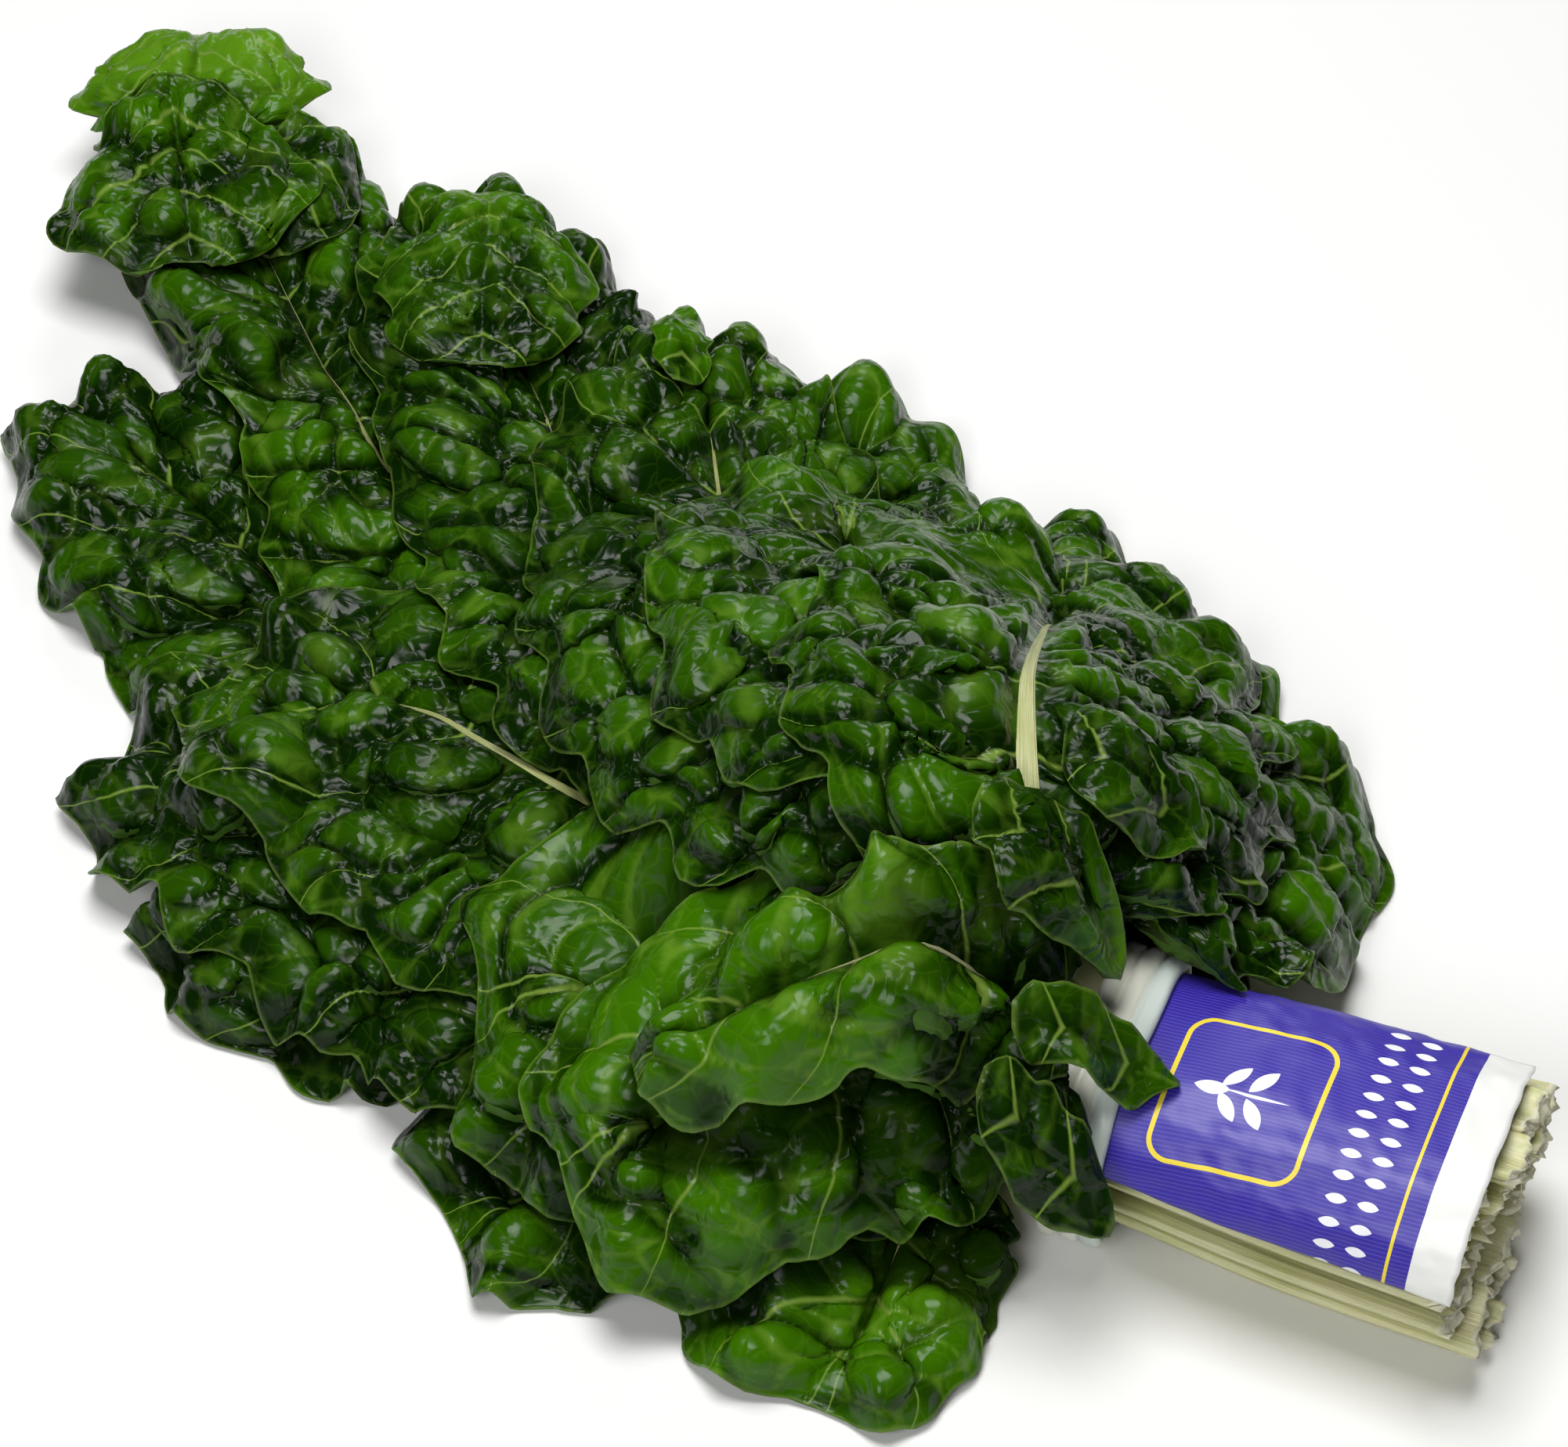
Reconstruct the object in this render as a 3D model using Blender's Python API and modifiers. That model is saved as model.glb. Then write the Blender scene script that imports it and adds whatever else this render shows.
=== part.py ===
"""A bunch of green Swiss chard lying on a table, as picked, banded and tagged.

Each leaf is two solids: a pale stalk, which runs on as the midrib, and the green blade, slit to
hold it. The stalks are stacked in rows at the butt and held by a ribbed band at the neck, and
the blades are laid one after another, each on the leaves beneath it. A tag lies over the stalks.

Sizes are in millimetres on a plan with +Y towards the leaf tips and +Z up. The whole bunch is
centred on its footprint at the end, and turned to metres.
"""

import math

import bmesh
import bpy
import numpy as np
from mathutils.bvhtree import BVHTree

MM = 0.001

# The bundle of stalks, in rows and columns
NECK = np.array([-22.0, -112.0])
BUNDLE_HEADING = 21.0
BUTT_LENGTH = 81.0
BUTT_FLAT_LENGTH = 47.0
STRAIGHT_PAST_NECK = 8.0
ROWS = 6
ROW_PITCH_NECK = 6.8
ROW_PITCH_BUTT = 7.8
COLUMN_PITCH_NECK = 16.8
COLUMN_PITCH_BUTT = 19.4
ROW_WIDTHS = (0.62, 0.9, 1.0, 1.0, 0.9, 0.62)
STALK_GAP = 0.6
NECK_LIFT = 5.4
BUTT_RAGGED = 9.0

# A stalk past the neck, and the midrib that it becomes
STALK_WIDTH = 12.0
RIB_WIDTH = 7.0
RIB_HEIGHT = 3.4
RIB_TIP_WIDTH = 2.6
RIB_TIP_HEIGHT = 1.6
RIB_GAP = 0.7
STATION_PITCH = 15.0
STALK_SLOPE = 0.7
STALK_REACH = 3.6
HELD_OVER = 18.0
TIGHT_UNTIL = 12.0
TIGHT_TO_WIDE = 25.0
EASE_PASSES = 60
STALK_LIFT_STEP = 1.2
STALK_LIFT_REACH = 12.0

# One stalk's section: a crescent with a flat underside, hollowed on the upper face
SECTION = np.array(
    [(-0.50, 0.12), (-0.24, -0.50), (0.24, -0.50), (0.50, 0.12), (0.45, 0.44), (0.0, 0.22), (-0.45, 0.44)]
)
SECTION_HOLLOW = 5

# The blades
BLADE_THICKNESS = 0.8
LAY_GAP = 1.2
TABLE_GAP = 0.8
BLADE_TABLE_GAP = 1.7
VEIN_PITCH = 27.0
COLUMNS = 4
RUFFLE = 6.5
LEAST_RUFFLE = 0.55
RUFFLE_SPREAD = 0.6
RUFFLE_POWER = 0.6
SCALLOP = 0.05
LEAST_SCALLOP = 0.6
SCALLOP_SPREAD = 0.8
BASE_ANGLE = 112.0
OUTLINE_AT = (0.0, 0.12, 0.32, 0.55, 0.8, 1.0)
OUTLINE = (0.38, 0.74, 1.02, 1.04, 1.0, 0.6)
TIP_LENGTH = 0.6
WAIST_AT = 0.6
WAIST_REACH = 0.16
BASE_LOBE = 0.16
BASE_LOBE_POWER = 6
FAN_POWER = 0.5
ROOT_POWER = 1.1
COLUMN_POWER = 0.92
EDGE_ON_RIB = 0.25
FALL_SLOPE = 0.88
BARE_TABLE = 0.1
EDGE_HOVER = 0.7
LAY_REACH = 6.0
LAY_SLOPE = 1.1
CELL = 2.5
CLEAR = 0.6
LIFTS = 24
LIFT_STEP = 0.8
FALL_PASSES = 48
SAMPLES = 7
STEEPEST = 0.5

# The band and the tag
OUTLINE_POWER = 2.7
BAND_CLEAR = 3.2
BAND_RIBS = 3
BAND_RIB_WIDTH = 4.6
BAND_THICKNESS = 1.8
BAND_STEPS = 36
TAG_LENGTH = 77.0
TAG_THICKNESS = 0.8
TAG_GAP = 0.5
TAG_FROM = 46.0
TAG_TO = 164.0
TAG_STEPS = 16
TAG_UNDER_BAND = 4.0
TAG_BENDS = (3.0, 22.0, 44.0)

GREEN = (0.035, 0.13, 0.012, 1.0)
CREAM = (0.72, 0.74, 0.50, 1.0)
BAND_WHITE = (0.80, 0.79, 0.72, 1.0)
TAG_BLUE = (0.07, 0.03, 0.42, 1.0)


class Leaf:
    """One leaf: its place in the bundle, where its midrib ends on the plan, and its size."""

    def __init__(self, row, column, tip, heading, start, left, right, **more):
        self.row = row
        self.column = column
        self.tip = np.array(tip, float)
        self.heading = heading
        self.start = start
        self.left = left
        self.right = right
        self.bow = more.get("bow", 0.33)
        self.lobe = more.get("lobe", OUTLINE[0])
        self.skew = more.get("skew", BASE_LOBE)
        self.base = more.get("base", BASE_ANGLE)
        self.waist = more.get("waist", (0.0, 0.0))
        self.over = more.get("over", False)
        self.hover = more.get("hover", 0.0)


# In the order in which they lie, from the table up. tip is the end of the leaf on the plan and
# heading its direction there, in degrees anticlockwise from +Y. start is how far past the neck the
# blade begins, left and right are its half widths. bow is how far it keeps its first direction and
# hover the height at which its end is held. lobe is the length of the base lobes, skew how much longer
# the outer one is, base the angle at which that one points back, and waist how much each side is
# drawn in.
# The leaves marked over lie on the band and tag as well.
LEAVES = [
    Leaf(0, 1, (94, -26), -60, 38, 42, 46),
    Leaf(0, -1, (-127, -26), 76, 42, 32, 44),
    Leaf(0, 0, (-103, 84), 20, 56, 38, 50),
    Leaf(1, 1, (100, 24), -46, 42, 42, 46),
    Leaf(1, -1, (-108, -107), 90, 26, 20, 46, bow=0.46),
    Leaf(1, 0, (-26, 210), 4, 80, 48, 46, hover=10),
    Leaf(2, -1, (-87, 120), 16, 54, 46, 50),
    Leaf(2, 0, (66, 276), -17, 96, 42, 48, waist=(0.35, 0.1), hover=18),
    Leaf(2, 1, (98, 84), -40, 50, 46, 42, hover=10),
    Leaf(3, 0, (-62, 108), 14, 52, 50, 44),
    Leaf(3, 1, (85, 187), -29, 60, 46, 42, waist=(0.1, 0.15), hover=18),
    Leaf(3, -1, (-101, -8), 54, 34, 38, 44),
    Leaf(4, -1, (-114, -46), 64, 20, 29, 36, lobe=0.6, skew=0.42, base=150.0, over=True),
    Leaf(4, 0, (84, 108), -38, 50, 46, 40),
    Leaf(4, 1, (66, 44), -46, 34, 46, 42),
    Leaf(5, 1, (86, -58), -60, 26, 38, 48, lobe=0.5, over=True),
    Leaf(5, 0, (92, -4), -50, 27, 48, 50, bow=0.2, lobe=0.52),
    Leaf(5, -1, (-99, -52), 58, 10, 17, 14, bow=0.18, lobe=0.95, over=True),
]


def direction(heading):
    """Unit vector on the plan for a heading in degrees, anticlockwise from +Y."""
    turn = np.radians(heading)
    return np.stack([-np.sin(turn), np.cos(turn)], -1)


def smooth(x):
    """0 to 1 with level ends."""
    x = np.clip(x, 0.0, 1.0)
    return x * x * (3 - 2 * x)


def mix(a, b, share):
    return a + (b - a) * share


ALONG = direction(BUNDLE_HEADING)
ACROSS = np.array([ALONG[1], -ALONG[0]])


class Course:
    """A leaf's line on the plan, from the butt through the neck to the tip, by distance past the neck."""

    def __init__(self, leaf):
        rng = np.random.default_rng(leaf.row * 10 + leaf.column + 5)
        self.leaf = leaf
        self.butt = -BUTT_LENGTH - BUTT_RAGGED * (rng.random() - 0.5)
        width = ROW_WIDTHS[leaf.row]
        neck = NECK + ACROSS * leaf.column * COLUMN_PITCH_NECK * width
        leave = neck + ALONG * STRAIGHT_PAST_NECK
        handle = leaf.bow * np.linalg.norm(leaf.tip - leave)
        a, b, c, d = leave, leave + ALONG * handle, leaf.tip - direction(leaf.heading) * handle, leaf.tip
        t = np.linspace(0, 1, 241)[:, None]
        curve = a * (1 - t) ** 3 + 3 * b * t * (1 - t) ** 2 + 3 * c * t * t * (1 - t) + d * t**3
        butt = neck + ACROSS * leaf.column * (COLUMN_PITCH_BUTT - COLUMN_PITCH_NECK) * width
        butt = butt + ALONG * self.butt
        line = np.vstack([[butt], [neck], curve])
        steps = np.linalg.norm(np.diff(line, axis=0), axis=1)
        self.distance = np.concatenate([[0], np.cumsum(steps)]) - steps[0]
        self.line = line
        self.end = self.distance[-1]

    def point(self, s):
        x = np.interp(s, self.distance, self.line[:, 0])
        y = np.interp(s, self.distance, self.line[:, 1])
        return np.stack([x, y], -1)

    def forward(self, s):
        step = self.point(np.asarray(s) + 1.5) - self.point(np.asarray(s) - 1.5)
        past = np.asarray(s) > self.end - 1.5
        step = np.where(past[..., None], direction(self.leaf.heading), step)
        return step / np.linalg.norm(step, axis=-1, keepdims=True)

    def sideways(self, s):
        """Unit vector to the leaf's right."""
        f = self.forward(s)
        return np.stack([f[..., 1], -f[..., 0]], -1)


class Pile:
    """The highest point of all that is laid so far, on a square grid over the plan.

    top is the pile itself, bundle the band and tag, which only some leaves lie on, and laid the
    meshes.
    """

    def __init__(self):
        self.low = np.array([-175.0, -235.0])
        size = ((np.array([150.0, 305.0]) - self.low) / CELL).astype(int)
        self.top = np.zeros(size)
        self.laid = []
        self.bundle = np.zeros(size)

    def cut(self, points, faces, clear):
        """The corners of a mesh's faces that come within a height of what is laid, or below it."""
        lowered = points - np.array([0.0, 0.0, clear])
        tree = BVHTree.FromPolygons(lowered.tolist(), faces.tolist())
        found = set()
        for other in self.laid:
            found.update(own for own, _ in tree.overlap(other))
        return np.unique(faces[sorted(found)])

    def lay(self, points, faces):
        """Raise the grid to a mesh's faces, each sampled on a small triangle of points."""
        self.laid.append(BVHTree.FromPolygons(points.tolist(), faces.tolist()))
        i, j = np.meshgrid(np.arange(SAMPLES + 1), np.arange(SAMPLES + 1))
        keep = i + j <= SAMPLES
        weights = np.stack([i[keep], j[keep], SAMPLES - i[keep] - j[keep]], -1) / SAMPLES
        spots = np.einsum("kw,fwc->fkc", weights, points[faces]).reshape(-1, 3)
        cells = np.round((spots[:, :2] - self.low) / CELL).astype(int)
        cells = np.clip(cells, 0, np.array(self.top.shape) - 1)
        np.maximum.at(self.top, (cells[:, 0], cells[:, 1]), spots[:, 2])

    def spread(self, top, reach, slope):
        """The grid held up level within reach of each point, then falling away at a slope."""
        cells = int(math.ceil(reach / CELL))
        out = top.copy()
        for dx in range(-cells, cells + 1):
            for dy in range(-cells, cells + 1):
                if math.hypot(dx, dy) * CELL <= reach:
                    np.maximum(out, np.roll(top, (dx, dy), (0, 1)), out=out)
        for _ in range(FALL_PASSES):
            for dx, dy in ((1, 0), (-1, 0), (0, 1), (0, -1), (1, 1), (1, -1), (-1, 1), (-1, -1)):
                fall = slope * CELL * math.hypot(dx, dy)
                np.maximum(out, np.roll(out, (dx, dy), (0, 1)) - fall, out=out)
        return out

    def read(self, field, spots):
        """A field of the grid between its points, by straight interpolation."""
        at = (spots - self.low) / CELL
        at = np.clip(at, 0, np.array(field.shape) - 1.001)
        i = at.astype(int)
        f = at - i
        x, y = i[..., 0], i[..., 1]
        near = mix(field[x, y], field[x + 1, y], f[..., 0])
        far = mix(field[x, y + 1], field[x + 1, y + 1], f[..., 0])
        return mix(near, far, f[..., 1])


def row_pitch(s):
    """Height of a row and the lift of the lowest one: level at the butt, lifted at the neck."""
    past_flat = smooth((s + BUTT_LENGTH - BUTT_FLAT_LENGTH) / (BUTT_LENGTH - BUTT_FLAT_LENGTH))
    return mix(ROW_PITCH_BUTT, ROW_PITCH_NECK, past_flat), NECK_LIFT * past_flat


def slot_height(leaf, s):
    """Height of a stalk's middle in the bundle."""
    pitch, lift = row_pitch(s)
    return leaf.row * pitch + (pitch - STALK_GAP) / 2 + lift


def stalk_size(leaf, course, s):
    """Width and height of the stalk: full in the bundle, slimmer past the neck, fine at the tip."""
    towards_neck = smooth((s + BUTT_LENGTH) / BUTT_LENGTH)
    row_width = ROW_WIDTHS[leaf.row]
    width = mix(COLUMN_PITCH_BUTT, COLUMN_PITCH_NECK, towards_neck) * row_width - STALK_GAP
    height = row_pitch(s)[0] - STALK_GAP
    past_neck = smooth(s / leaf.start)
    width = mix(width, STALK_WIDTH * 0.5 + RIB_WIDTH * 0.5, past_neck)
    height = mix(height, RIB_HEIGHT, past_neck)
    to_tip = np.clip((s - leaf.start) / (rib_end(leaf, course) - leaf.start), 0, 1)
    width = np.where(s > leaf.start, mix(width, RIB_TIP_WIDTH, to_tip**0.7), width)
    height = np.where(s > leaf.start, mix(height, RIB_TIP_HEIGHT, to_tip), height)
    return width, height


def last_vein(leaf, course):
    """Where the last side veins leave the midrib, short of the blade's rounded tip."""
    return course.end - TIP_LENGTH * (leaf.left + leaf.right) / 2


def vein_roots(leaf, course):
    """Where the side veins and the crests between them leave the midrib, from base to tip."""
    half_width = (leaf.left + leaf.right) / 2
    veins = max(4, round((course.end - leaf.start + 0.6 * half_width) / VEIN_PITCH))
    p = np.linspace(0, veins, 2 * veins + 1)
    up_to_last = np.minimum(p / p[-2], 1.0)
    return p, mix(leaf.start, last_vein(leaf, course), up_to_last**ROOT_POWER)


def rib_end(leaf, course):
    """The midrib stops short of the last side veins, where the blade's halves join."""
    return vein_roots(leaf, course)[1][-3] - 1.0


class Lie:
    """Height of a stalk's middle by distance past the neck."""

    def __init__(self, leaf, s, z):
        self.leaf = leaf
        self.s = s
        self.z = z

    def __call__(self, at):
        at = np.asarray(at)
        return np.where(at < 0, slot_height(self.leaf, at), np.interp(at, self.s, self.z))


def stalk_course(leaf, course, pile):
    """Heights of the stalk's middle by distance: its slot in the bundle, then resting on the pile."""
    s = np.arange(0.0, course.end + 2.0, 2.0)
    width, height = stalk_size(leaf, course, s)
    side = course.sideways(s)
    tight = np.zeros(len(s))
    for share in (-0.5, -0.25, 0.0, 0.25, 0.5):
        spots = course.point(s) + side * (share * (width + 2 * CELL))[:, None]
        tight = np.maximum(tight, pile.read(pile.top, spots))
    wide = pile.read(pile.spread(pile.top, STALK_REACH, STALK_SLOPE), course.point(s))
    need = mix(tight, wide, smooth((s - TIGHT_UNTIL) / TIGHT_TO_WIDE)) + height / 2
    need = need + np.where(need > height / 2 + BARE_TABLE, LAY_GAP, TABLE_GAP)
    need = np.maximum(need, leaf.hover * smooth(s / course.end * 2 - 1) + height / 2)
    slot = slot_height(leaf, s)
    held = 1 - smooth((s - STRAIGHT_PAST_NECK) / HELD_OVER)
    need = np.maximum(mix(need, slot, held), slot - STALK_SLOPE * np.maximum(s - STRAIGHT_PAST_NECK, 0))
    free = (s > STRAIGHT_PAST_NECK)[1:-1]
    z = need
    for _ in range(LIFTS):
        for _ in range(EASE_PASSES):
            eased = np.maximum(need[1:-1], (z[:-2] + z[2:]) / 4 + z[1:-1] / 2)
            z[1:-1] = np.where(free, eased, z[1:-1])
        lie = Lie(leaf, s, z)
        points, faces, stations = make_stalk(leaf, course, lie)
        cut = pile.cut(points, faces, CLEAR)
        cut = cut[stations[cut] > STRAIGHT_PAST_NECK]
        if len(cut) == 0:
            break
        near = np.abs(s[:, None] - stations[cut][None, :]).min(1)
        need = z + STALK_LIFT_STEP * smooth(1.5 - near / STALK_LIFT_REACH)
        z = need.copy()
    return lie


def make_stalk(leaf, course, lie):
    """The stalk and midrib: its section carried along the course, closed at both ends."""
    stop = rib_end(leaf, course)
    bundle = np.array([course.butt, -BUTT_LENGTH + BUTT_FLAT_LENGTH, -BUTT_LENGTH * 0.2, 0.0])
    past = np.linspace(STRAIGHT_PAST_NECK, leaf.start, max(2, round(leaf.start / STATION_PITCH)))
    along_blade = vein_roots(leaf, course)[1][1:-3]
    s = np.concatenate([bundle, past, along_blade, [stop]])
    width, height = stalk_size(leaf, course, s)
    middle = course.point(s)
    side = course.sideways(s)
    rings = np.zeros((len(s), len(SECTION), 3))
    rings[..., :2] = middle[:, None] + side[:, None] * (SECTION[None, :, :1] * width[:, None, None])
    rings[..., 2] = lie(s)[:, None] + SECTION[None, :, 1] * height[:, None]
    count = len(SECTION)
    points = rings.reshape(-1, 3)
    faces = []
    for i in range(len(s) - 1):
        for j in range(count):
            a = i * count + j
            b = i * count + (j + 1) % count
            faces.append((a, b, b + count))
            faces.append((a, b + count, a + count))
    for first, turned in ((0, False), ((len(s) - 1) * count, True)):
        ring = [first + (SECTION_HOLLOW + k) % count for k in range(count)]
        cap = [(ring[0], ring[k], ring[k + 1]) for k in range(1, count - 1)]
        faces += [f if turned else f[::-1] for f in cap]
    faces = np.array(faces)
    return points, faces[:, ::-1], np.repeat(s, count)


def blade_outline(u):
    """Length of a side vein over the half width, by its place from the blade's base to its tip."""
    return np.interp(u, OUTLINE_AT, OUTLINE)


def make_blade(leaf, course, lie, pile):
    """The blade as an open sheet: side veins fan out from the midrib, and the sheet swells between
    them.

    A point is numbered by its side vein p, which turns from pointing back at the base to straight
    on at the tip, and its share of that vein's length. Its height is the highest of what it lies
    on and its fall from the midrib, and a ruffle that is nought on each vein is added.
    """
    half_width = (leaf.left + leaf.right) / 2
    p, root = vein_roots(leaf, course)
    rows = len(p)
    u = p / p[-1]
    rng = np.random.default_rng(leaf.row * 100 + leaf.column * 10 + 40)
    share = np.linspace(0, 1, COLUMNS + 1) ** COLUMN_POWER
    rib_half = stalk_size(leaf, course, root)[0] / 2 + RIB_GAP
    open_row = np.arange(rows) < rows - 2
    held = pile.top
    if leaf.over:
        held = np.maximum(held, pile.bundle)
    ground = pile.spread(held, LAY_REACH, LAY_SLOPE)
    crest = np.abs(np.sin(np.pi * p))
    points = []
    ids = {}
    grids = []
    for sign, half in ((-1, leaf.left), (1, leaf.right)):
        outer = sign * leaf.column
        angle = np.radians(leaf.base if outer > 0 else BASE_ANGLE) * (1 - u) ** FAN_POWER
        base = leaf.lobe - OUTLINE[0] + leaf.skew * outer
        length = mix(half, half_width, u**3) * (blade_outline(u) + base * (1 - u) ** BASE_LOBE_POWER)
        length = length * (1 - leaf.waist[sign > 0] * np.exp(-(((u - WAIST_AT) / WAIST_REACH) ** 2)))
        length = length * (1 + SCALLOP * (crest - 0.5) * (LEAST_SCALLOP + SCALLOP_SPREAD * rng.random(rows)))
        inner = np.where(open_row, rib_half, 0.0)
        reach = length[:, None] * share[None, :]
        on = np.cos(angle)[:, None] * reach
        off = np.sin(angle)[:, None] * reach + inner[:, None] * (1 - share[None, :] * 0.5)
        off[-1] = 0.0
        spots = course.point(root)[:, None] + course.forward(root)[:, None] * on[..., None]
        spots = spots + course.sideways(root)[:, None] * (sign * off)[..., None]
        lift = stalk_size(leaf, course, root)[1] * EDGE_ON_RIB
        fall = (lie(root) + lift)[:, None] - FALL_SLOPE * reach
        under = pile.read(ground, spots)
        under = under + np.where(under > BARE_TABLE, LAY_GAP, BLADE_TABLE_GAP)
        base = np.maximum(np.maximum(under, fall), leaf.hover * smooth(u * 2 - 1)[:, None] * EDGE_HOVER)
        base[:, 0] = lie(root) + lift
        swell = RUFFLE * (LEAST_RUFFLE + RUFFLE_SPREAD * rng.random((rows, COLUMNS + 1)))
        swell = swell * crest[:, None] * share[None, :] ** RUFFLE_POWER
        spots = np.concatenate([spots, (base + swell)[..., None]], -1)
        grid = np.zeros((rows, COLUMNS + 1), int)
        for j in range(rows):
            for i in range(COLUMNS + 1):
                shared = j == rows - 1 or (i == 0 and not open_row[j])
                key = ("middle", min(j, rows - 2) if i == 0 else j, i) if shared else (sign, j, i)
                if key not in ids:
                    ids[key] = len(points)
                    points.append(spots[j, i])
                grid[j, i] = ids[key]
        grids.append((sign, grid))
    faces = []
    for sign, grid in grids:
        for j in range(rows - 1):
            for i in range(COLUMNS):
                a, b, c, d = grid[j, i], grid[j, i + 1], grid[j + 1, i + 1], grid[j + 1, i]
                if (i + j) % 2:
                    pair = [(a, b, c), (a, c, d)]
                else:
                    pair = [(a, b, d), (b, c, d)]
                faces += pair if sign > 0 else [f[::-1] for f in pair]
    points = np.array(points)
    faces = np.array([f for f in faces if len(set(f)) == 3])
    on_rib = np.unique(np.concatenate([grid[:-2, 0] for _, grid in grids]))
    for _ in range(LIFTS):
        cut = pile.cut(underside(points, faces), faces, CLEAR)
        if len(cut) == 0:
            break
        points[np.setdiff1d(cut, on_rib), 2] += LIFT_STEP
    return points, faces


def underside(points, faces):
    """A sheet's lower face: the upper one let down by its thickness, further where it is steep."""
    corner = points[faces]
    turn = np.cross(corner[:, 1] - corner[:, 0], corner[:, 2] - corner[:, 0])
    normal = np.zeros_like(points)
    for k in range(3):
        np.add.at(normal, faces[:, k], turn)
    upright = np.abs(normal[:, 2]) / np.linalg.norm(normal, axis=1)
    lower = points.copy()
    lower[:, 2] -= BLADE_THICKNESS / np.clip(upright, STEEPEST, 1.0)
    return lower


def bundle_outline(angle, clear, lift=0.0):
    """A point of the outline round the bundle at the neck: a superellipse, across and up."""
    half_across = 1.5 * COLUMN_PITCH_NECK + clear
    half_up = ROWS * ROW_PITCH_NECK / 2 + clear
    middle = NECK_LIFT + (ROWS * ROW_PITCH_NECK - STALK_GAP) / 2 + lift
    c, s = np.cos(angle), np.sin(angle)
    across = half_across * np.sign(c) * np.abs(c) ** (2 / OUTLINE_POWER)
    up = half_up * np.sign(s) * np.abs(s) ** (2 / OUTLINE_POWER)
    return across, middle + up


def place(along, across, up):
    """A point given along the bundle, across it and up."""
    plan = NECK + ALONG * along[..., None] + ACROSS * across[..., None]
    return np.concatenate([plan, up[..., None]], -1)


def make_band():
    """The band: a profile of three rounded ribs carried round the bundle at the neck."""
    angle = np.linspace(0, 2 * np.pi, BAND_STEPS, endpoint=False)
    half = BAND_RIBS * BAND_RIB_WIDTH / 2
    along = np.linspace(-half, half, 2 * BAND_RIBS + 1)
    out = np.where(np.arange(len(along)) % 2, BAND_THICKNESS, BAND_THICKNESS * 0.5)
    profile = [(x, o) for x, o in zip(along, out)] + [(half, 0.0), (-half, 0.0)]
    rings = []
    for x, o in profile:
        across, up = bundle_outline(angle, BAND_CLEAR + o)
        rings.append(place(np.full_like(angle, x), across, up))
    points = np.array(rings)
    count, steps = len(profile), BAND_STEPS
    faces = []
    for i in range(count):
        for j in range(steps):
            a = i * steps + j
            b = i * steps + (j + 1) % steps
            c = ((i + 1) % count) * steps + (j + 1) % steps
            d = ((i + 1) % count) * steps + j
            faces += [(a, c, b), (a, d, c)]
    return points.reshape(-1, 3), np.array(faces)


def make_tag():
    """The tag as an open sheet: it follows the bundle's top and flank, its front edge beneath the
    band."""
    angle = np.radians(np.linspace(TAG_FROM, TAG_TO, TAG_STEPS + 1))
    half_band = BAND_RIBS * BAND_RIB_WIDTH / 2
    start = TAG_UNDER_BAND - half_band
    along = np.array([start] + [-half_band - bend for bend in TAG_BENDS] + [start - TAG_LENGTH])
    points = []
    for x in along:
        grow = 1 + (COLUMN_PITCH_BUTT / COLUMN_PITCH_NECK - 1) * min(1.0, -x / BUTT_LENGTH)
        clear = BAND_CLEAR - TAG_GAP - TAG_THICKNESS / 2
        across, up = bundle_outline(angle, clear)
        pitch, lift = row_pitch(min(x, 0.0))
        up = (up - NECK_LIFT) * pitch / ROW_PITCH_NECK + lift
        points.append(place(np.full_like(angle, x), across * grow, up))
    n = TAG_STEPS + 1
    faces = []
    for i in range(len(along) - 1):
        for j in range(TAG_STEPS):
            a, b = i * n + j, i * n + j + 1
            faces += [(a, a + n, b + n), (a, b + n, b)]
    return np.array(points).reshape(-1, 3), np.array(faces)


def add_object(name, points, faces, colour, roughness, collection):
    """A mesh object with a plain material of its own."""
    mesh = bpy.data.meshes.new(name)
    mesh.from_pydata(points.tolist(), [], faces.tolist())
    mesh.update()
    made = bpy.data.objects.new(name, mesh)
    collection.objects.link(made)
    material = bpy.data.materials.new(name)
    material.use_nodes = True
    shader = material.node_tree.nodes["Principled BSDF"]
    shader.inputs["Base Color"].default_value = colour
    shader.inputs["Roughness"].default_value = roughness
    mesh.materials.append(material)
    return made


def close_blade(made, lower):
    """Extrude a sheet's faces straight down to its underside, so both faces are split alike."""
    shape = bmesh.new()
    shape.from_mesh(made.data)
    shape.verts.ensure_lookup_table()
    upper = list(shape.verts)
    copied = bmesh.ops.duplicate(shape, geom=list(shape.faces))
    twins = copied["vert_map"]
    for number, vert in enumerate(upper):
        twins[vert].co = lower[number]
    edges = [item for item in copied["geom"] if isinstance(item, bmesh.types.BMEdge)]
    bmesh.ops.reverse_faces(shape, faces=[f for f in copied["geom"] if isinstance(f, bmesh.types.BMFace)])
    rims = [e for e in shape.edges if e.is_boundary]
    bmesh.ops.bridge_loops(shape, edges=rims)
    shape.to_mesh(made.data)
    shape.free()


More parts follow.
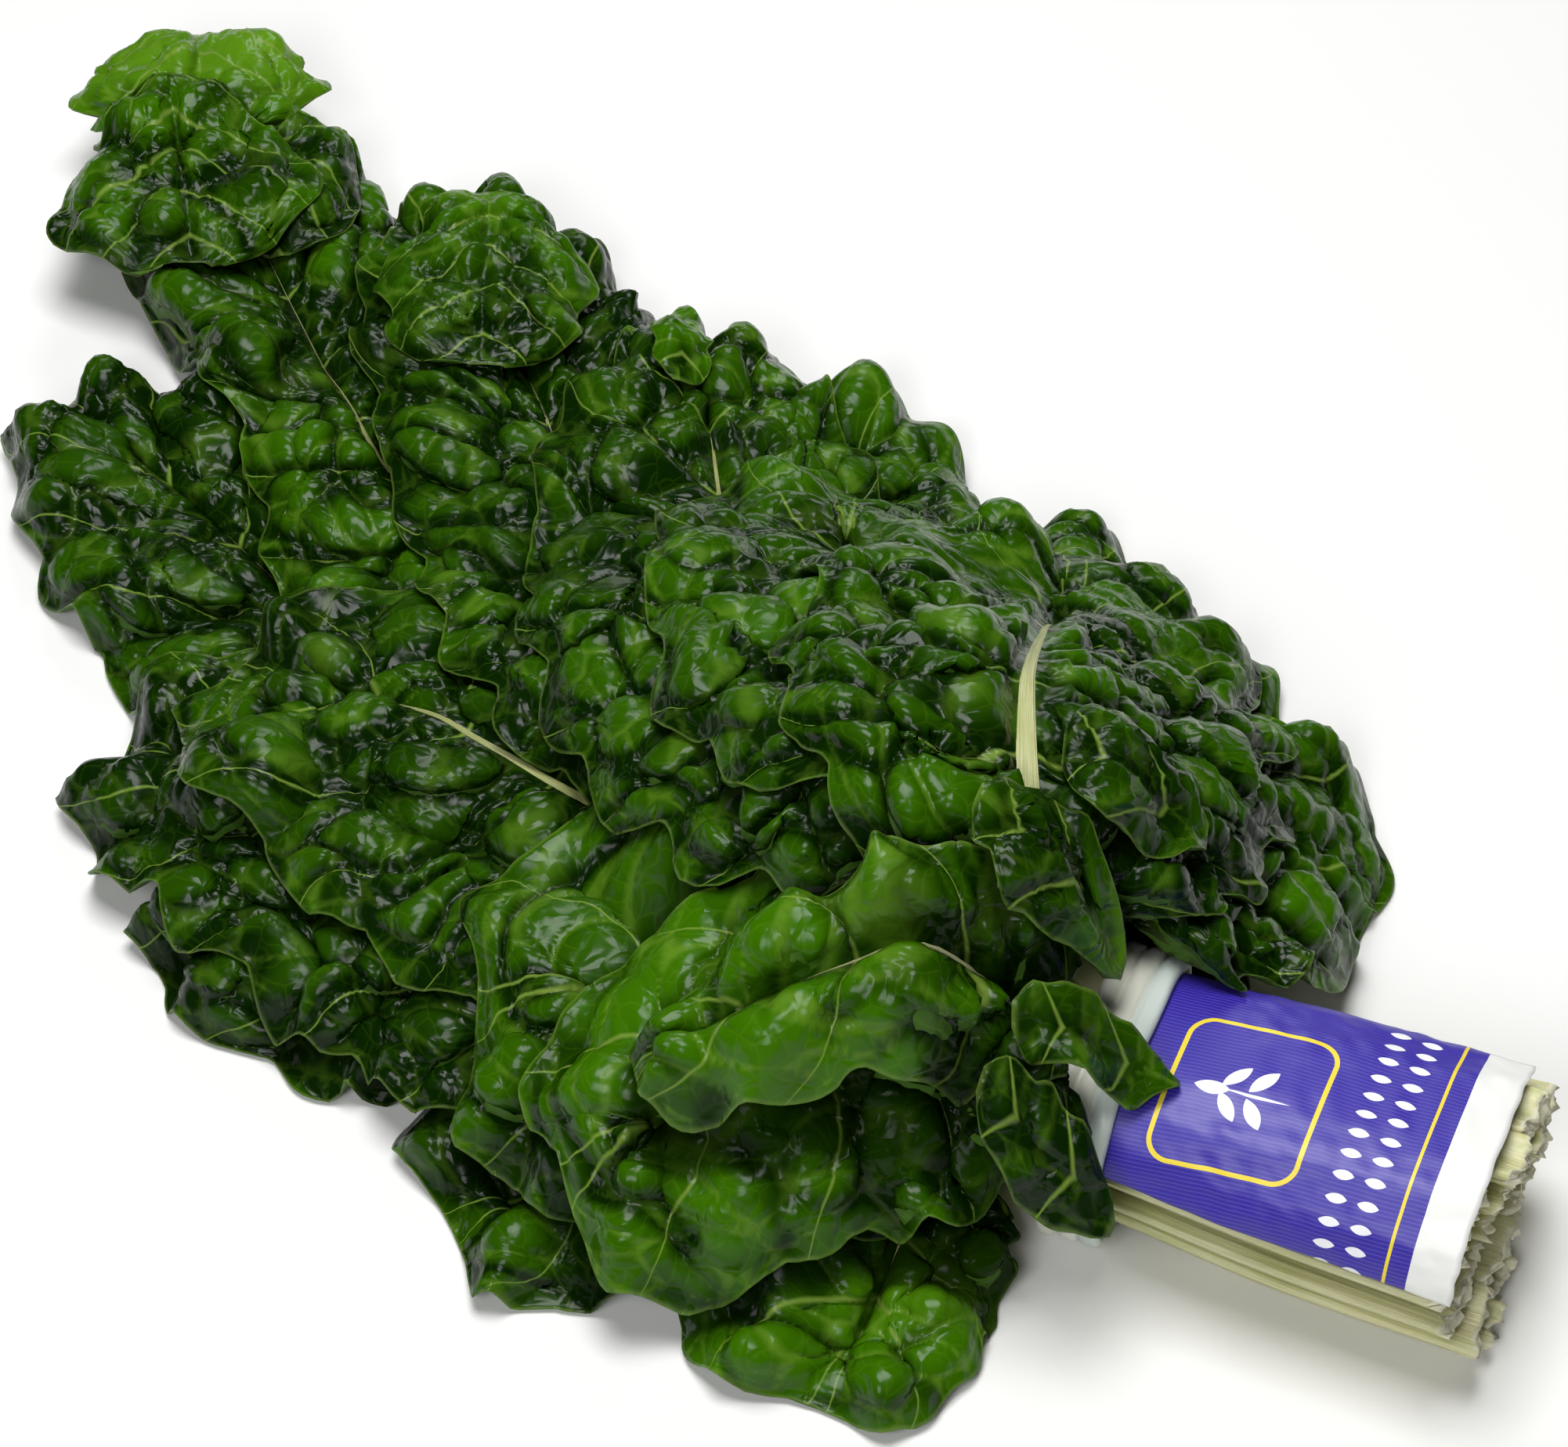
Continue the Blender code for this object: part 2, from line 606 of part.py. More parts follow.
def main():
    for old in list(bpy.data.objects):
        bpy.data.objects.remove(old, do_unlink=True)
    collection = bpy.data.collections.new("chard_bunch")
    bpy.context.scene.collection.children.link(collection)

    pieces = []
    band_points, band_faces = make_band()
    tag_points, tag_faces = make_tag()
    cover = Pile()
    cover.lay(band_points, band_faces)
    cover.lay(tag_points, tag_faces)
    pile = Pile()
    pile.bundle = cover.top
    for number, leaf in enumerate(LEAVES, 1):
        course = Course(leaf)
        lie = stalk_course(leaf, course, pile)
        stalk, stalk_faces, _ = make_stalk(leaf, course, lie)
        blade, blade_faces = make_blade(leaf, course, lie, pile)
        pile.lay(stalk, stalk_faces)
        pile.lay(blade, blade_faces)
        pieces.append((f"stalk_{number:02d}", stalk, stalk_faces, CREAM, 0.35))
        pieces.append((f"blade_{number:02d}", blade, blade_faces, GREEN, 0.3))
    pieces.append(("band", band_points, band_faces, BAND_WHITE, 0.35))
    pieces.append(("tag", tag_points, tag_faces, TAG_BLUE, 0.3))

    everything = np.vstack([points for _, points, *_ in pieces])
    low, high = everything.min(0), everything.max(0)
    shift = np.array([(low[0] + high[0]) / 2, (low[1] + high[1]) / 2, 0.0])
    for name, points, faces, colour, roughness in pieces:
        made = add_object(name, (points - shift) * MM, faces, colour, roughness, collection)
        if name.startswith("blade"):
            close_blade(made, (underside(points, faces) - shift) * MM)
        if name == "tag":
            solid = made.modifiers.new("Thickness", "SOLIDIFY")
            solid.thickness = TAG_THICKNESS * MM
            solid.offset = 0.0


main()
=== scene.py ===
"""The finished look of a bunch of green Swiss chard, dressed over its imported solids.

Every leaf is a puckered blade on a ribbed stalk. The stalks lie in rows in a ribbed band, and a printed
tag is wrapped over them. Lengths are in millimetres on the plan of the part's own source, where +Y
runs to the leaf tips and +Z up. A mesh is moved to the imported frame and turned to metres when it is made.
"""

import functools
import math
from typing import NamedTuple

import bpy
import numpy as np
from mathutils import Matrix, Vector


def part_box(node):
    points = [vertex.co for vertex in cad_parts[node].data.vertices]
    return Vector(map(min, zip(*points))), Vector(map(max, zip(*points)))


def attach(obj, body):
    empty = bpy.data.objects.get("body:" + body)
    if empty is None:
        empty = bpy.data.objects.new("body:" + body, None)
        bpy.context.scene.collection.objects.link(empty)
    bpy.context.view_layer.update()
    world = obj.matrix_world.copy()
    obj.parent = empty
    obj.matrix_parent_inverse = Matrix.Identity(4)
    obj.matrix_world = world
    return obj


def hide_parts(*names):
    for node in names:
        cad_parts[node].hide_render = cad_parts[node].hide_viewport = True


MM = 0.001

# The bundle of stalks, the midribs and the fans of side veins, as the part's source has them
NECK = np.array([-22.0, -112.0])
BUNDLE_HEADING = 21.0
BUTT_LENGTH = 81.0
BUTT_FLAT_LENGTH = 47.0
STRAIGHT_PAST_NECK = 8.0
ROWS = 6
ROW_PITCH_NECK = 6.8
ROW_PITCH_BUTT = 7.8
COLUMN_PITCH_NECK = 16.8
COLUMN_PITCH_BUTT = 19.4
ROW_WIDTHS = (0.62, 0.9, 1.0, 1.0, 0.9, 0.62)
STALK_GAP = 0.6
NECK_LIFT = 5.4
BUTT_RAGGED = 9.0
STALK_WIDTH = 12.0
RIB_WIDTH = 7.0
RIB_HEIGHT = 3.4
RIB_TIP_WIDTH = 2.6
RIB_TIP_HEIGHT = 1.6
RIB_GAP = 0.7
STATION_PITCH = 15.0
SECTION = np.array(
    [(-0.50, 0.12), (-0.24, -0.50), (0.24, -0.50), (0.50, 0.12), (0.45, 0.44), (0.0, 0.22), (-0.45, 0.44)]
)
VEIN_PITCH = 27.0
COLUMNS = 4
COLUMN_POWER = 0.92
SCALLOP = 0.05
BASE_ANGLE = 112.0
OUTLINE_AT = (0.0, 0.12, 0.32, 0.55, 0.8, 1.0)
OUTLINE = (0.38, 0.74, 1.02, 1.04, 1.0, 0.6)
TIP_LENGTH = 0.6
WAIST_AT = 0.6
WAIST_REACH = 0.16
BASE_LOBE = 0.16
FAN_POWER = 0.5
ROOT_POWER = 1.1

# The band and the tag, as the part's source has them
OUTLINE_POWER = 2.7
BAND_CLEAR = 3.2
BAND_RIBS = 3
BAND_RIB_WIDTH = 4.6
BAND_THICKNESS = 1.8
TAG_LENGTH = 77.0
TAG_THICKNESS = 0.8
TAG_GAP = 0.5
TAG_FROM = 46.0
TAG_TO = 164.0
TAG_UNDER_BAND = 4.0

# The tag's print
PRINT_MIDDLE = 32.0
STRIPE_PITCH = 0.9
FRAME_AT = 26.0
FRAME_HALF = (12.0, 10.0, 0.0)
FRAME_CORNER = 5.0
LINE_AT = 63.0
ROW_LEAF_PITCH = 4.8
STRIP_LENGTH = 9.5

# The blades' fine surface. A name with LENGTH is a wave length, and an EDGE is how far from a border a
# form reaches its full height.
RIM_TO_MIDRIB = 2.6
ROW_STEP = 1.9
COLUMN_STEP = 1.25
THICKNESS = 0.6
RIM_THICKNESS = 0.3
LOWEST_SHEET = THICKNESS + 0.3
ARCH = 5.0
FOLD = 6.0
FOLD_LENGTH = 66.0
FRILL = 5.0
FRILL_LENGTH = 30.0
FRILL_DRIFT = 2.5
FRILL_DRIFT_LENGTH = 60.0
FRILL_SWAY = 0.35
CURL = 3.0
CURL_LENGTH = 70.0
RIM_WAVE = 1.7
RIM_WAVE_LENGTH = 14.0
RIM_A_VEIN = 20.0
RIM_BULGE = 0.05
DOMES_A_VEIN = 1.6
DOME_LENGTH = 23.0
DOME_HEIGHT = 5.0
DOME_EDGE = 6.0
DOME_POWER = 0.75
DOME_WARP = 0.32
DOME_WARP_LENGTH = 40.0
OVERHANG = 4.5
DENT = 10.0
DENT_HEIGHT = 2.2
DENT_EDGE = 3.0
SLOPE_LET_OUT = 0.8
VEIN_GROOVE = 1.2
VEIN_GROOVE_HALF = 1.6
INFLATE = 0.5
VEIN_BEND = 0.45
VEIN_WANDER = 0.09
VEIN_WANDER_LENGTH = 24.0
RIB_WAVE = 0.22
RIB_WAVE_LENGTH = 9.0
HIGHEST = 107.0
HIGH_SPAN = 9.0
LIE_GAP = 0.9
LIE_REACH = 2.4
LIE_SLOPE = 1.6
CELL = 2.4
PLAN_LOW = np.array([-190.0, -250.0])
PLAN_HIGH = np.array([170.0, 320.0])
FIRST_LOBE_SEED = 400
TONE_WAVE = 0.2
TONE_LENGTH = 60.0

# The loose lobes
LOBE_STEP = 1.4
LOBE_RIM_WAVE = 0.12
LOBE_RIM_WAVE_LENGTH = 11.0
LOBE_TAPER = 0.25
LOBE_BELLY = 2.0
LOBE_DROOP = 5.0
LOBE_WAVE = 1.5
LOBE_WAVE_LENGTH = 16.0
LOBE_VEIN_PITCH = 13.0

# The stalks' fine surface
STALK_STEP = 3.0
SECTION_POINTS = 36
CUT_RINGS = 5
CUT_REACH = 3.0
CUT_TILT = 0.12
CUT_FLARE = 0.35
STALK_WAVE = 0.25
STALK_WAVE_LENGTH = 24.0
ROUND_TOP = 0.25
ROUND_TOP_FROM = 30.0
RIB_FADE = 16.0


class Leaf(NamedTuple):
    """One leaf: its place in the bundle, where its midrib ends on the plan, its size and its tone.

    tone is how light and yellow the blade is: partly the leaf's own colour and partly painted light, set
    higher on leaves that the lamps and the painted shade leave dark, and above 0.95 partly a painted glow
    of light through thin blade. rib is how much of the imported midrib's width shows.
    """

    row: int
    column: int
    tip: tuple
    heading: float
    start: float
    left: float
    right: float
    bow: float = 0.33
    lobe: float = OUTLINE[0]
    skew: float = BASE_LOBE
    base: float = BASE_ANGLE
    waist: tuple = (0.0, 0.0)
    over: bool = False
    tone: float = 0.4
    rib: float = 0.3


class Lobe(NamedTuple):
    """A loose lobe: its blade's number, middle and heading, half its length and width, and its tone.

    plain is how far it does without veins, from 0 to 1, and least the height at which its middle is held.
    """

    blade: int
    middle: tuple
    heading: float
    half_length: float
    half_width: float
    tone: float
    plain: float
    least: float


# The part's own table, in the order in which the leaves lie, from the surface up
LEAVES = [
    Leaf(0, 1, (94, -26), -60, 38, 42, 46, tone=0.6),
    Leaf(0, -1, (-127, -26), 76, 42, 32, 44, tone=0.2),
    Leaf(0, 0, (-103, 84), 20, 56, 38, 50, tone=0.15),
    Leaf(1, 1, (100, 24), -46, 42, 42, 46),
    Leaf(1, -1, (-108, -107), 90, 26, 20, 46, bow=0.46, tone=0.8),
    Leaf(1, 0, (-26, 210), 4, 80, 48, 46, tone=0.2),
    Leaf(2, -1, (-87, 120), 16, 54, 46, 50, tone=0.15),
    Leaf(2, 0, (66, 276), -17, 96, 42, 48, waist=(0.35, 0.1), tone=0.55),
    Leaf(2, 1, (98, 84), -40, 50, 46, 42),
    Leaf(3, 0, (-62, 108), 14, 52, 50, 44, tone=0.3, rib=0.6),
    Leaf(3, 1, (85, 187), -29, 60, 46, 42, waist=(0.1, 0.15), tone=0.3),
    Leaf(3, -1, (-101, -8), 54, 34, 38, 44, tone=0.4),
    Leaf(4, -1, (-114, -46), 64, 20, 29, 36, lobe=0.6, skew=0.42, base=150.0, over=True, tone=0.85),
    Leaf(4, 0, (84, 108), -38, 50, 46, 40, tone=0.3, rib=0.6),
    Leaf(4, 1, (66, 44), -46, 34, 46, 42, tone=0.45),
    Leaf(5, 1, (86, -58), -60, 26, 38, 48, lobe=0.5, over=True, tone=0.65, rib=0.5),
    Leaf(5, 0, (92, -4), -50, 27, 48, 50, bow=0.2, lobe=0.52, tone=0.45, rib=0.6),
    Leaf(5, -1, (-99, -52), 58, 10, 17, 14, bow=0.18, lobe=0.95, over=True, tone=0.85),
]

# Loose lobes at the leaf tips and over the stalks and the band
LOBES = [
    Lobe(8, (64, 254), -42, 19, 29, 1.2, 1.0, 27),
    Lobe(8, (57, 211), -60, 21, 15, 0.35, 0.3, 22),
    Lobe(8, (37, 231), -38, 29, 28, 0.55, 0.5, 26),
    Lobe(11, (62, 153), -47, 30, 23, 0.75, 0.1, 28),
    Lobe(14, (74, 101), -47, 15, 6.5, 0.9, 1.0, 31),
    Lobe(17, (-25, -95), 201, 16, 12, 0.75, 0.0, 0),
    Lobe(16, (4, -92), 215, 15, 13, 0.6, 0.0, 0),
    Lobe(13, (-38, -119), 224, 17, 6, 0.9, 0.0, 0),
    Lobe(13, (-58, -124), 195, 15, 7, 0.3, 0.0, 0),
]


def smooth(x):
    """0 to 1 with level ends: three x squared less two x cubed."""
    x = np.clip(x, 0.0, 1.0)
    return x * x * (3 - 2 * x)


def mix(a, b, share):
    """From a to b by a share of the way."""
    return a + (b - a) * share


def direction(heading):
    """Unit vector on the plan for a heading in degrees, anticlockwise from +Y."""
    turn = np.radians(heading)
    return np.stack([-np.sin(turn), np.cos(turn)], -1)


def resample(values, at):
    """Values along the first axis read between their places, on a Catmull-Rom curve through them."""
    last = len(values) - 1
    i = np.clip(np.floor(at).astype(int), 0, last - 1)
    f = (at - i).reshape((-1,) + (1,) * (values.ndim - 1))
    a, b = values[np.maximum(i - 1, 0)], values[i]
    c, d = values[i + 1], values[np.minimum(i + 2, last)]
    return b + 0.5 * f * (c - a + f * (2 * a - 5 * b + 4 * c - d + f * (3 * (b - c) + d - a)))


def curve_through(x, y, at):
    """A smooth curve through unevenly spaced points, with Hermite spans and three-point slopes."""
    slope = np.gradient(y, x)
    i = np.clip(np.searchsorted(x, at) - 1, 0, len(x) - 2)
    span = x[i + 1] - x[i]
    f = np.clip((at - x[i]) / span, 0, 1)
    rise = y[i + 1] - y[i]
    ease = smooth(f)
    return y[i] + rise * ease + span * f * (1 - f) * ((1 - f) * slope[i] - f * slope[i + 1])


def chance(*numbers):
    """A number from 0 to 1 that looks random for each set of whole numbers: the fraction of a large sine."""
    mixed = sum(number * (127.1 + 184.6 * k) for k, number in enumerate(numbers))
    return np.modf(np.abs(np.sin(mixed) * 43758.5453))[0]


def waves(x, y, length, seed):
    """A smooth field of about -1 to 1: six sines in random directions, near one wavelength."""
    rng = np.random.default_rng(seed)
    total = np.zeros(np.broadcast(x, y).shape)
    for _ in range(6):
        turn = rng.random() * 2 * np.pi
        step = 2 * np.pi / (length * (0.7 + 0.7 * rng.random()))
        total = total + np.sin((x * np.cos(turn) + y * np.sin(turn)) * step + rng.random() * 2 * np.pi)
    return total / 3.0


def waves_over(plan, length, seed):
    """The field of waves at points of the plan."""
    return waves(plan[..., 0], plan[..., 1], length, seed)


def sliding(values, reach, pick):
    """The mean, or another pick, of the rows within reach on both sides of each row of values."""
    padded = np.pad(values, [(reach, reach)] + [(0, 0)] * (values.ndim - 1), mode="edge")
    return pick([padded[k:k + len(values)] for k in range(2 * reach + 1)], axis=0)


def cells(x, y, seed):
    """The nearest cell of a jittered grid with squares of 1 by 1.

    Given are the distance to its border, its chance number, its neighbour's, and the unit vector out from
    its centre. That distance is half the difference between the distances to the two nearest centres.
    """
    column, row = np.floor(x), np.floor(y)
    nearest = np.full(x.shape, 9.0)
    second = np.full(x.shape, 9.0)
    kind = np.zeros(x.shape)
    rival = np.zeros(x.shape)
    outward = np.zeros(x.shape + (2,))
    for dx in (-1, 0, 1):
        for dy in (-1, 0, 1):
            a = chance(column + dx, row + dy, seed)
            b = chance(column + dx, row + dy, seed + 17)
            step = np.stack([x - column - dx - 0.1 - 0.8 * a, y - row - dy - 0.1 - 0.8 * b], -1)
            away = np.linalg.norm(step, axis=-1)
            closer = away < nearest
            runner_up = ~closer & (away < second)
            second = np.where(closer, nearest, np.where(runner_up, away, second))
            rival = np.where(closer, kind, np.where(runner_up, a, rival))
            kind = np.where(closer, a, kind)
            outward = np.where(closer[..., None], step / np.maximum(away, 1e-6)[..., None], outward)
            nearest = np.where(closer, away, nearest)
    return (second - nearest) / 2, kind, rival, outward


ALONG = direction(BUNDLE_HEADING)
ACROSS = np.array([ALONG[1], -ALONG[0]])


class Course:
    """A leaf's line on the plan, from the butt through the neck to the tip, by distance past the neck."""

    def __init__(self, leaf):
        rng = np.random.default_rng(leaf.row * 10 + leaf.column + 5)
        self.leaf = leaf
        self.butt = -BUTT_LENGTH - BUTT_RAGGED * (rng.random() - 0.5)
        width = ROW_WIDTHS[leaf.row]
        neck = NECK + ACROSS * leaf.column * COLUMN_PITCH_NECK * width
        leave = neck + ALONG * STRAIGHT_PAST_NECK
        tip = np.array(leaf.tip, float)
        handle = leaf.bow * np.linalg.norm(tip - leave)
        a, b, c, d = leave, leave + ALONG * handle, tip - direction(leaf.heading) * handle, tip
        t = np.linspace(0, 1, 241)[:, None]
        curve = a * (1 - t) ** 3 + 3 * b * t * (1 - t) ** 2 + 3 * c * t * t * (1 - t) + d * t**3
        butt = neck + ACROSS * leaf.column * (COLUMN_PITCH_BUTT - COLUMN_PITCH_NECK) * width
        butt = butt + ALONG * self.butt
        beyond = butt + (butt - neck) * 0.1
        line = np.vstack([[beyond], [butt], [neck], curve])
        steps = np.linalg.norm(np.diff(line, axis=0), axis=1)
        self.distance = np.concatenate([[0], np.cumsum(steps)]) - steps[0] - steps[1]
        self.line = line
        self.end = self.distance[-1]
        half_width = (leaf.left + leaf.right) / 2
        self.last_vein = self.end - TIP_LENGTH * half_width
        self.veins = max(4, round((self.end - leaf.start + 0.6 * half_width) / VEIN_PITCH))
        self.rib_end = self.root(self.veins - 1.0) - 1.0

    def point(self, s):
        """The line's point at each distance."""
        x = np.interp(s, self.distance, self.line[:, 0])
        y = np.interp(s, self.distance, self.line[:, 1])
        return np.stack([x, y], -1)

    def forward(self, s):
        """Unit vector along the line, taken over 3 mm."""
        step = self.point(np.asarray(s) + 1.5) - self.point(np.asarray(s) - 1.5)
        past = np.asarray(s) > self.end - 1.5
        step = np.where(past[..., None], direction(self.leaf.heading), step)
        return step / np.linalg.norm(step, axis=-1, keepdims=True)

    def sideways(self, s):
        """Unit vector to the leaf's right."""
        f = self.forward(s)
        return np.stack([f[..., 1], -f[..., 0]], -1)

    def root(self, p):
        """Where side vein p leaves the midrib, by distance past the neck."""
        return mix(self.leaf.start, self.last_vein, np.minimum(p / (self.veins - 0.5), 1.0) ** ROOT_POWER)


def row_pitch(s):
    """Height of a row and the lift of the lowest one: level at the butt, lifted at the neck."""
    past_flat = smooth((s + BUTT_LENGTH - BUTT_FLAT_LENGTH) / (BUTT_LENGTH - BUTT_FLAT_LENGTH))
    return mix(ROW_PITCH_BUTT, ROW_PITCH_NECK, past_flat), NECK_LIFT * past_flat


def stalk_size(leaf, course, s):
    """Width and height of the stalk: full in the bundle, slimmer past the neck, fine at the tip."""
    towards_neck = smooth((s + BUTT_LENGTH) / BUTT_LENGTH)
    row_width = ROW_WIDTHS[leaf.row]
    width = mix(COLUMN_PITCH_BUTT, COLUMN_PITCH_NECK, towards_neck) * row_width - STALK_GAP
    height = row_pitch(s)[0] - STALK_GAP
    past_neck = smooth(s / leaf.start)
    width = mix(width, STALK_WIDTH * 0.5 + RIB_WIDTH * 0.5, past_neck)
    height = mix(height, RIB_HEIGHT, past_neck)
    to_tip = np.clip((s - leaf.start) / (course.rib_end - leaf.start), 0, 1)
    width = np.where(s > leaf.start, mix(width, RIB_TIP_WIDTH, to_tip**0.7), width)
    height = np.where(s > leaf.start, mix(height, RIB_TIP_HEIGHT, to_tip), height)
    return width, height


def packed_heights(node, plan, pick):
    """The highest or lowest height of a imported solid's triangles at each given point of the plan.

    A triangle's height at a point is the sum of its corners' heights, each times that corner's
    share of the triangle's area on the plan.
    """
    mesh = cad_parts[node].data
    spots = np.zeros(len(mesh.vertices) * 3)
    mesh.vertices.foreach_get("co", spots)
    mesh.calc_loop_triangles()
    numbers = np.zeros(len(mesh.loop_triangles) * 3, np.int32)
    mesh.loop_triangles.foreach_get("vertices", numbers)
    a, b, c = np.moveaxis((spots.reshape(-1, 3) / MM + SHIFT)[numbers.reshape(-1, 3)], 1, 0)
    area = np.cross(b[:, :2] - a[:, :2], c[:, :2] - a[:, :2])
    lying = np.abs(area) > 1e-3
    a, b, c, area = a[lying], b[lying], c[lying], area[lying]
    away = plan[..., None, :] - a[:, :2]
    of_b = np.cross(away, c[:, :2] - a[:, :2]) / area
    of_c = np.cross(b[:, :2] - a[:, :2], away) / area
    inside = (of_b > -0.002) & (of_c > -0.002) & (of_b + of_c < 1.002)
    height = a[:, 2] + of_b * (b - a)[:, 2] + of_c * (c - a)[:, 2]
    if not inside.any(-1).all():
        raise ValueError(f"{node} has nothing over some points of its own plan")
    return pick(np.where(inside, height, np.nan), axis=-1)


def rib_share(leaf, course, s):
    """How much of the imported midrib's width shows: all of it up to the blade, less and less to the tip.

    It falls to the leaf's own share over the 24 mm round the blade's start, and by 45 % more to the tip.
    """
    onto_blade = smooth((s - leaf.start + 18.0) / 24.0)
    to_tip = ((s - leaf.start) / (course.rib_end - leaf.start)).clip(0, 1)
    return mix(1.0, leaf.rib, onto_blade) * (1 - 0.45 * to_tip)


def rib_heights(leaf, course, node):
    """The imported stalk's stations, by distance past the neck, and the height of its middle at each."""
    bundle = np.array([course.butt, -BUTT_LENGTH + BUTT_FLAT_LENGTH, -BUTT_LENGTH * 0.2, 0.0])
    past = np.linspace(STRAIGHT_PAST_NECK, leaf.start, max(2, round(leaf.start / STATION_PITCH)))
    along_blade = course.root(np.arange(0.5, course.veins - 1.0, 0.5))
    s = np.concatenate([bundle, past, along_blade, [course.rib_end]])
    underside = packed_heights(node, course.point(s), np.nanmin)
    return s, underside + stalk_size(leaf, course, s)[1] / 2


class Pile:
    """The highest point of all that is laid so far, on a square grid over the plan."""

    def __init__(self):
        self.top = np.zeros(((PLAN_HIGH - PLAN_LOW) / CELL).astype(int))

    def lay(self, spots):
        """Raises the grid to the heights of the points given."""
        at = np.round((spots[:, :2] - PLAN_LOW) / CELL).astype(int)
        at = np.clip(at, 0, np.array(self.top.shape) - 1)
        np.maximum.at(self.top, (at[:, 0], at[:, 1]), spots[:, 2])

    def over(self, other):
        """This pile and another as one."""
        both = Pile()
        both.top = np.maximum(self.top, other.top)
        return both

    def crests(self):
        """The highest level that the grid reaches on both sides of each point, within 5 mm, evened out."""
        most = self.top.copy()
        for dx, dy in ((1, 0), (0, 1), (1, 1), (1, -1), (2, 0), (0, 2), (2, 1), (1, 2), (2, -1), (1, -2)):
            one, other = np.roll(self.top, (dx, dy), (0, 1)), np.roll(self.top, (-dx, -dy), (0, 1))
            np.maximum(most, np.minimum(one, other), out=most)
        return np.mean([np.roll(most, (dx, dy), (0, 1)) for dx in (-1, 0, 1) for dy in (-1, 0, 1)], axis=0)

    def ground(self):
        """The grid held up level within reach of each point, then falling away at a slope."""
        out = self.top.copy()
        reach = math.ceil(LIE_REACH / CELL)
        for dx in range(-reach, reach + 1):
            for dy in range(-reach, reach + 1):
                if math.hypot(dx, dy) * CELL <= LIE_REACH:
                    np.maximum(out, np.roll(self.top, (dx, dy), (0, 1)), out=out)
        for _ in range(30):
            for dx, dy in ((1, 0), (-1, 0), (0, 1), (0, -1), (1, 1), (1, -1), (-1, 1), (-1, -1)):
                fall = LIE_SLOPE * CELL * math.hypot(dx, dy)
                np.maximum(out, np.roll(out, (dx, dy), (0, 1)) - fall, out=out)
        return out

    def read(self, field, spots):
        """A field of the grid between its points, by straight interpolation."""
        at = np.clip((spots - PLAN_LOW) / CELL, 0, np.array(field.shape) - 1.001)
        i = at.astype(int)
        f = at - i
        x, y = i[..., 0], i[..., 1]
        near = mix(field[x, y], field[x + 1, y], f[..., 0])
        far = mix(field[x, y + 1], field[x + 1, y + 1], f[..., 0])
        return mix(near, far, f[..., 1])


def fan(leaf, course, p, length, share, sign, beside_rib):
    """Plan points of half a blade: straight side veins that turn from back at the base to on at the tip.

    beside_rib is how far from the midrib's middle each vein begins.
    """
    root = course.root(p)
    base = leaf.base if sign * leaf.column > 0 else BASE_ANGLE
    angle = np.radians(base) * (1 - p / course.veins) ** FAN_POWER
    reach = length[:, None] * share[None, :]
    inner = beside_rib * np.clip((course.veins - 0.5 - p) / 0.5, 0, 1)
    on = np.cos(angle)[:, None] * reach
    off = np.sin(angle)[:, None] * reach + inner[:, None] * (1 - share[None, :] * 0.5)
    forward, side = course.forward(root)[:, None], course.sideways(root)[:, None] * sign
    out = forward * np.cos(angle)[:, None, None] + side * np.sin(angle)[:, None, None]
    spots = course.point(root)[:, None] + forward * on[..., None] + side * off[..., None]
    return spots, np.broadcast_to(out, spots.shape)


def vein_lengths(leaf, course):
    """The lengths of both halves' coarse side veins, by the part's own outline and chance numbers."""
    half_width = (leaf.left + leaf.right) / 2
    p = np.linspace(0, course.veins, 2 * course.veins + 1)
    u = p / course.veins
    crest = np.abs(np.sin(np.pi * p))
    rng = np.random.default_rng(leaf.row * 100 + leaf.column * 10 + 40)
    lengths = []
    for sign, half in ((-1, leaf.left), (1, leaf.right)):
        base = leaf.lobe - OUTLINE[0] + leaf.skew * sign * leaf.column
        length = mix(half, half_width, u**3) * (np.interp(u, OUTLINE_AT, OUTLINE) + base * (1 - u) ** 6)
        length = length * (1 - leaf.waist[sign > 0] * np.exp(-(((u - WAIST_AT) / WAIST_REACH) ** 2)))
        lengths.append(length * (1 + SCALLOP * (crest - 0.5) * (0.6 + 0.8 * rng.random(len(p)))))
        rng.random((len(p), COLUMNS + 1))
    lengths[1][-1] = lengths[0][-1]
    return p, lengths


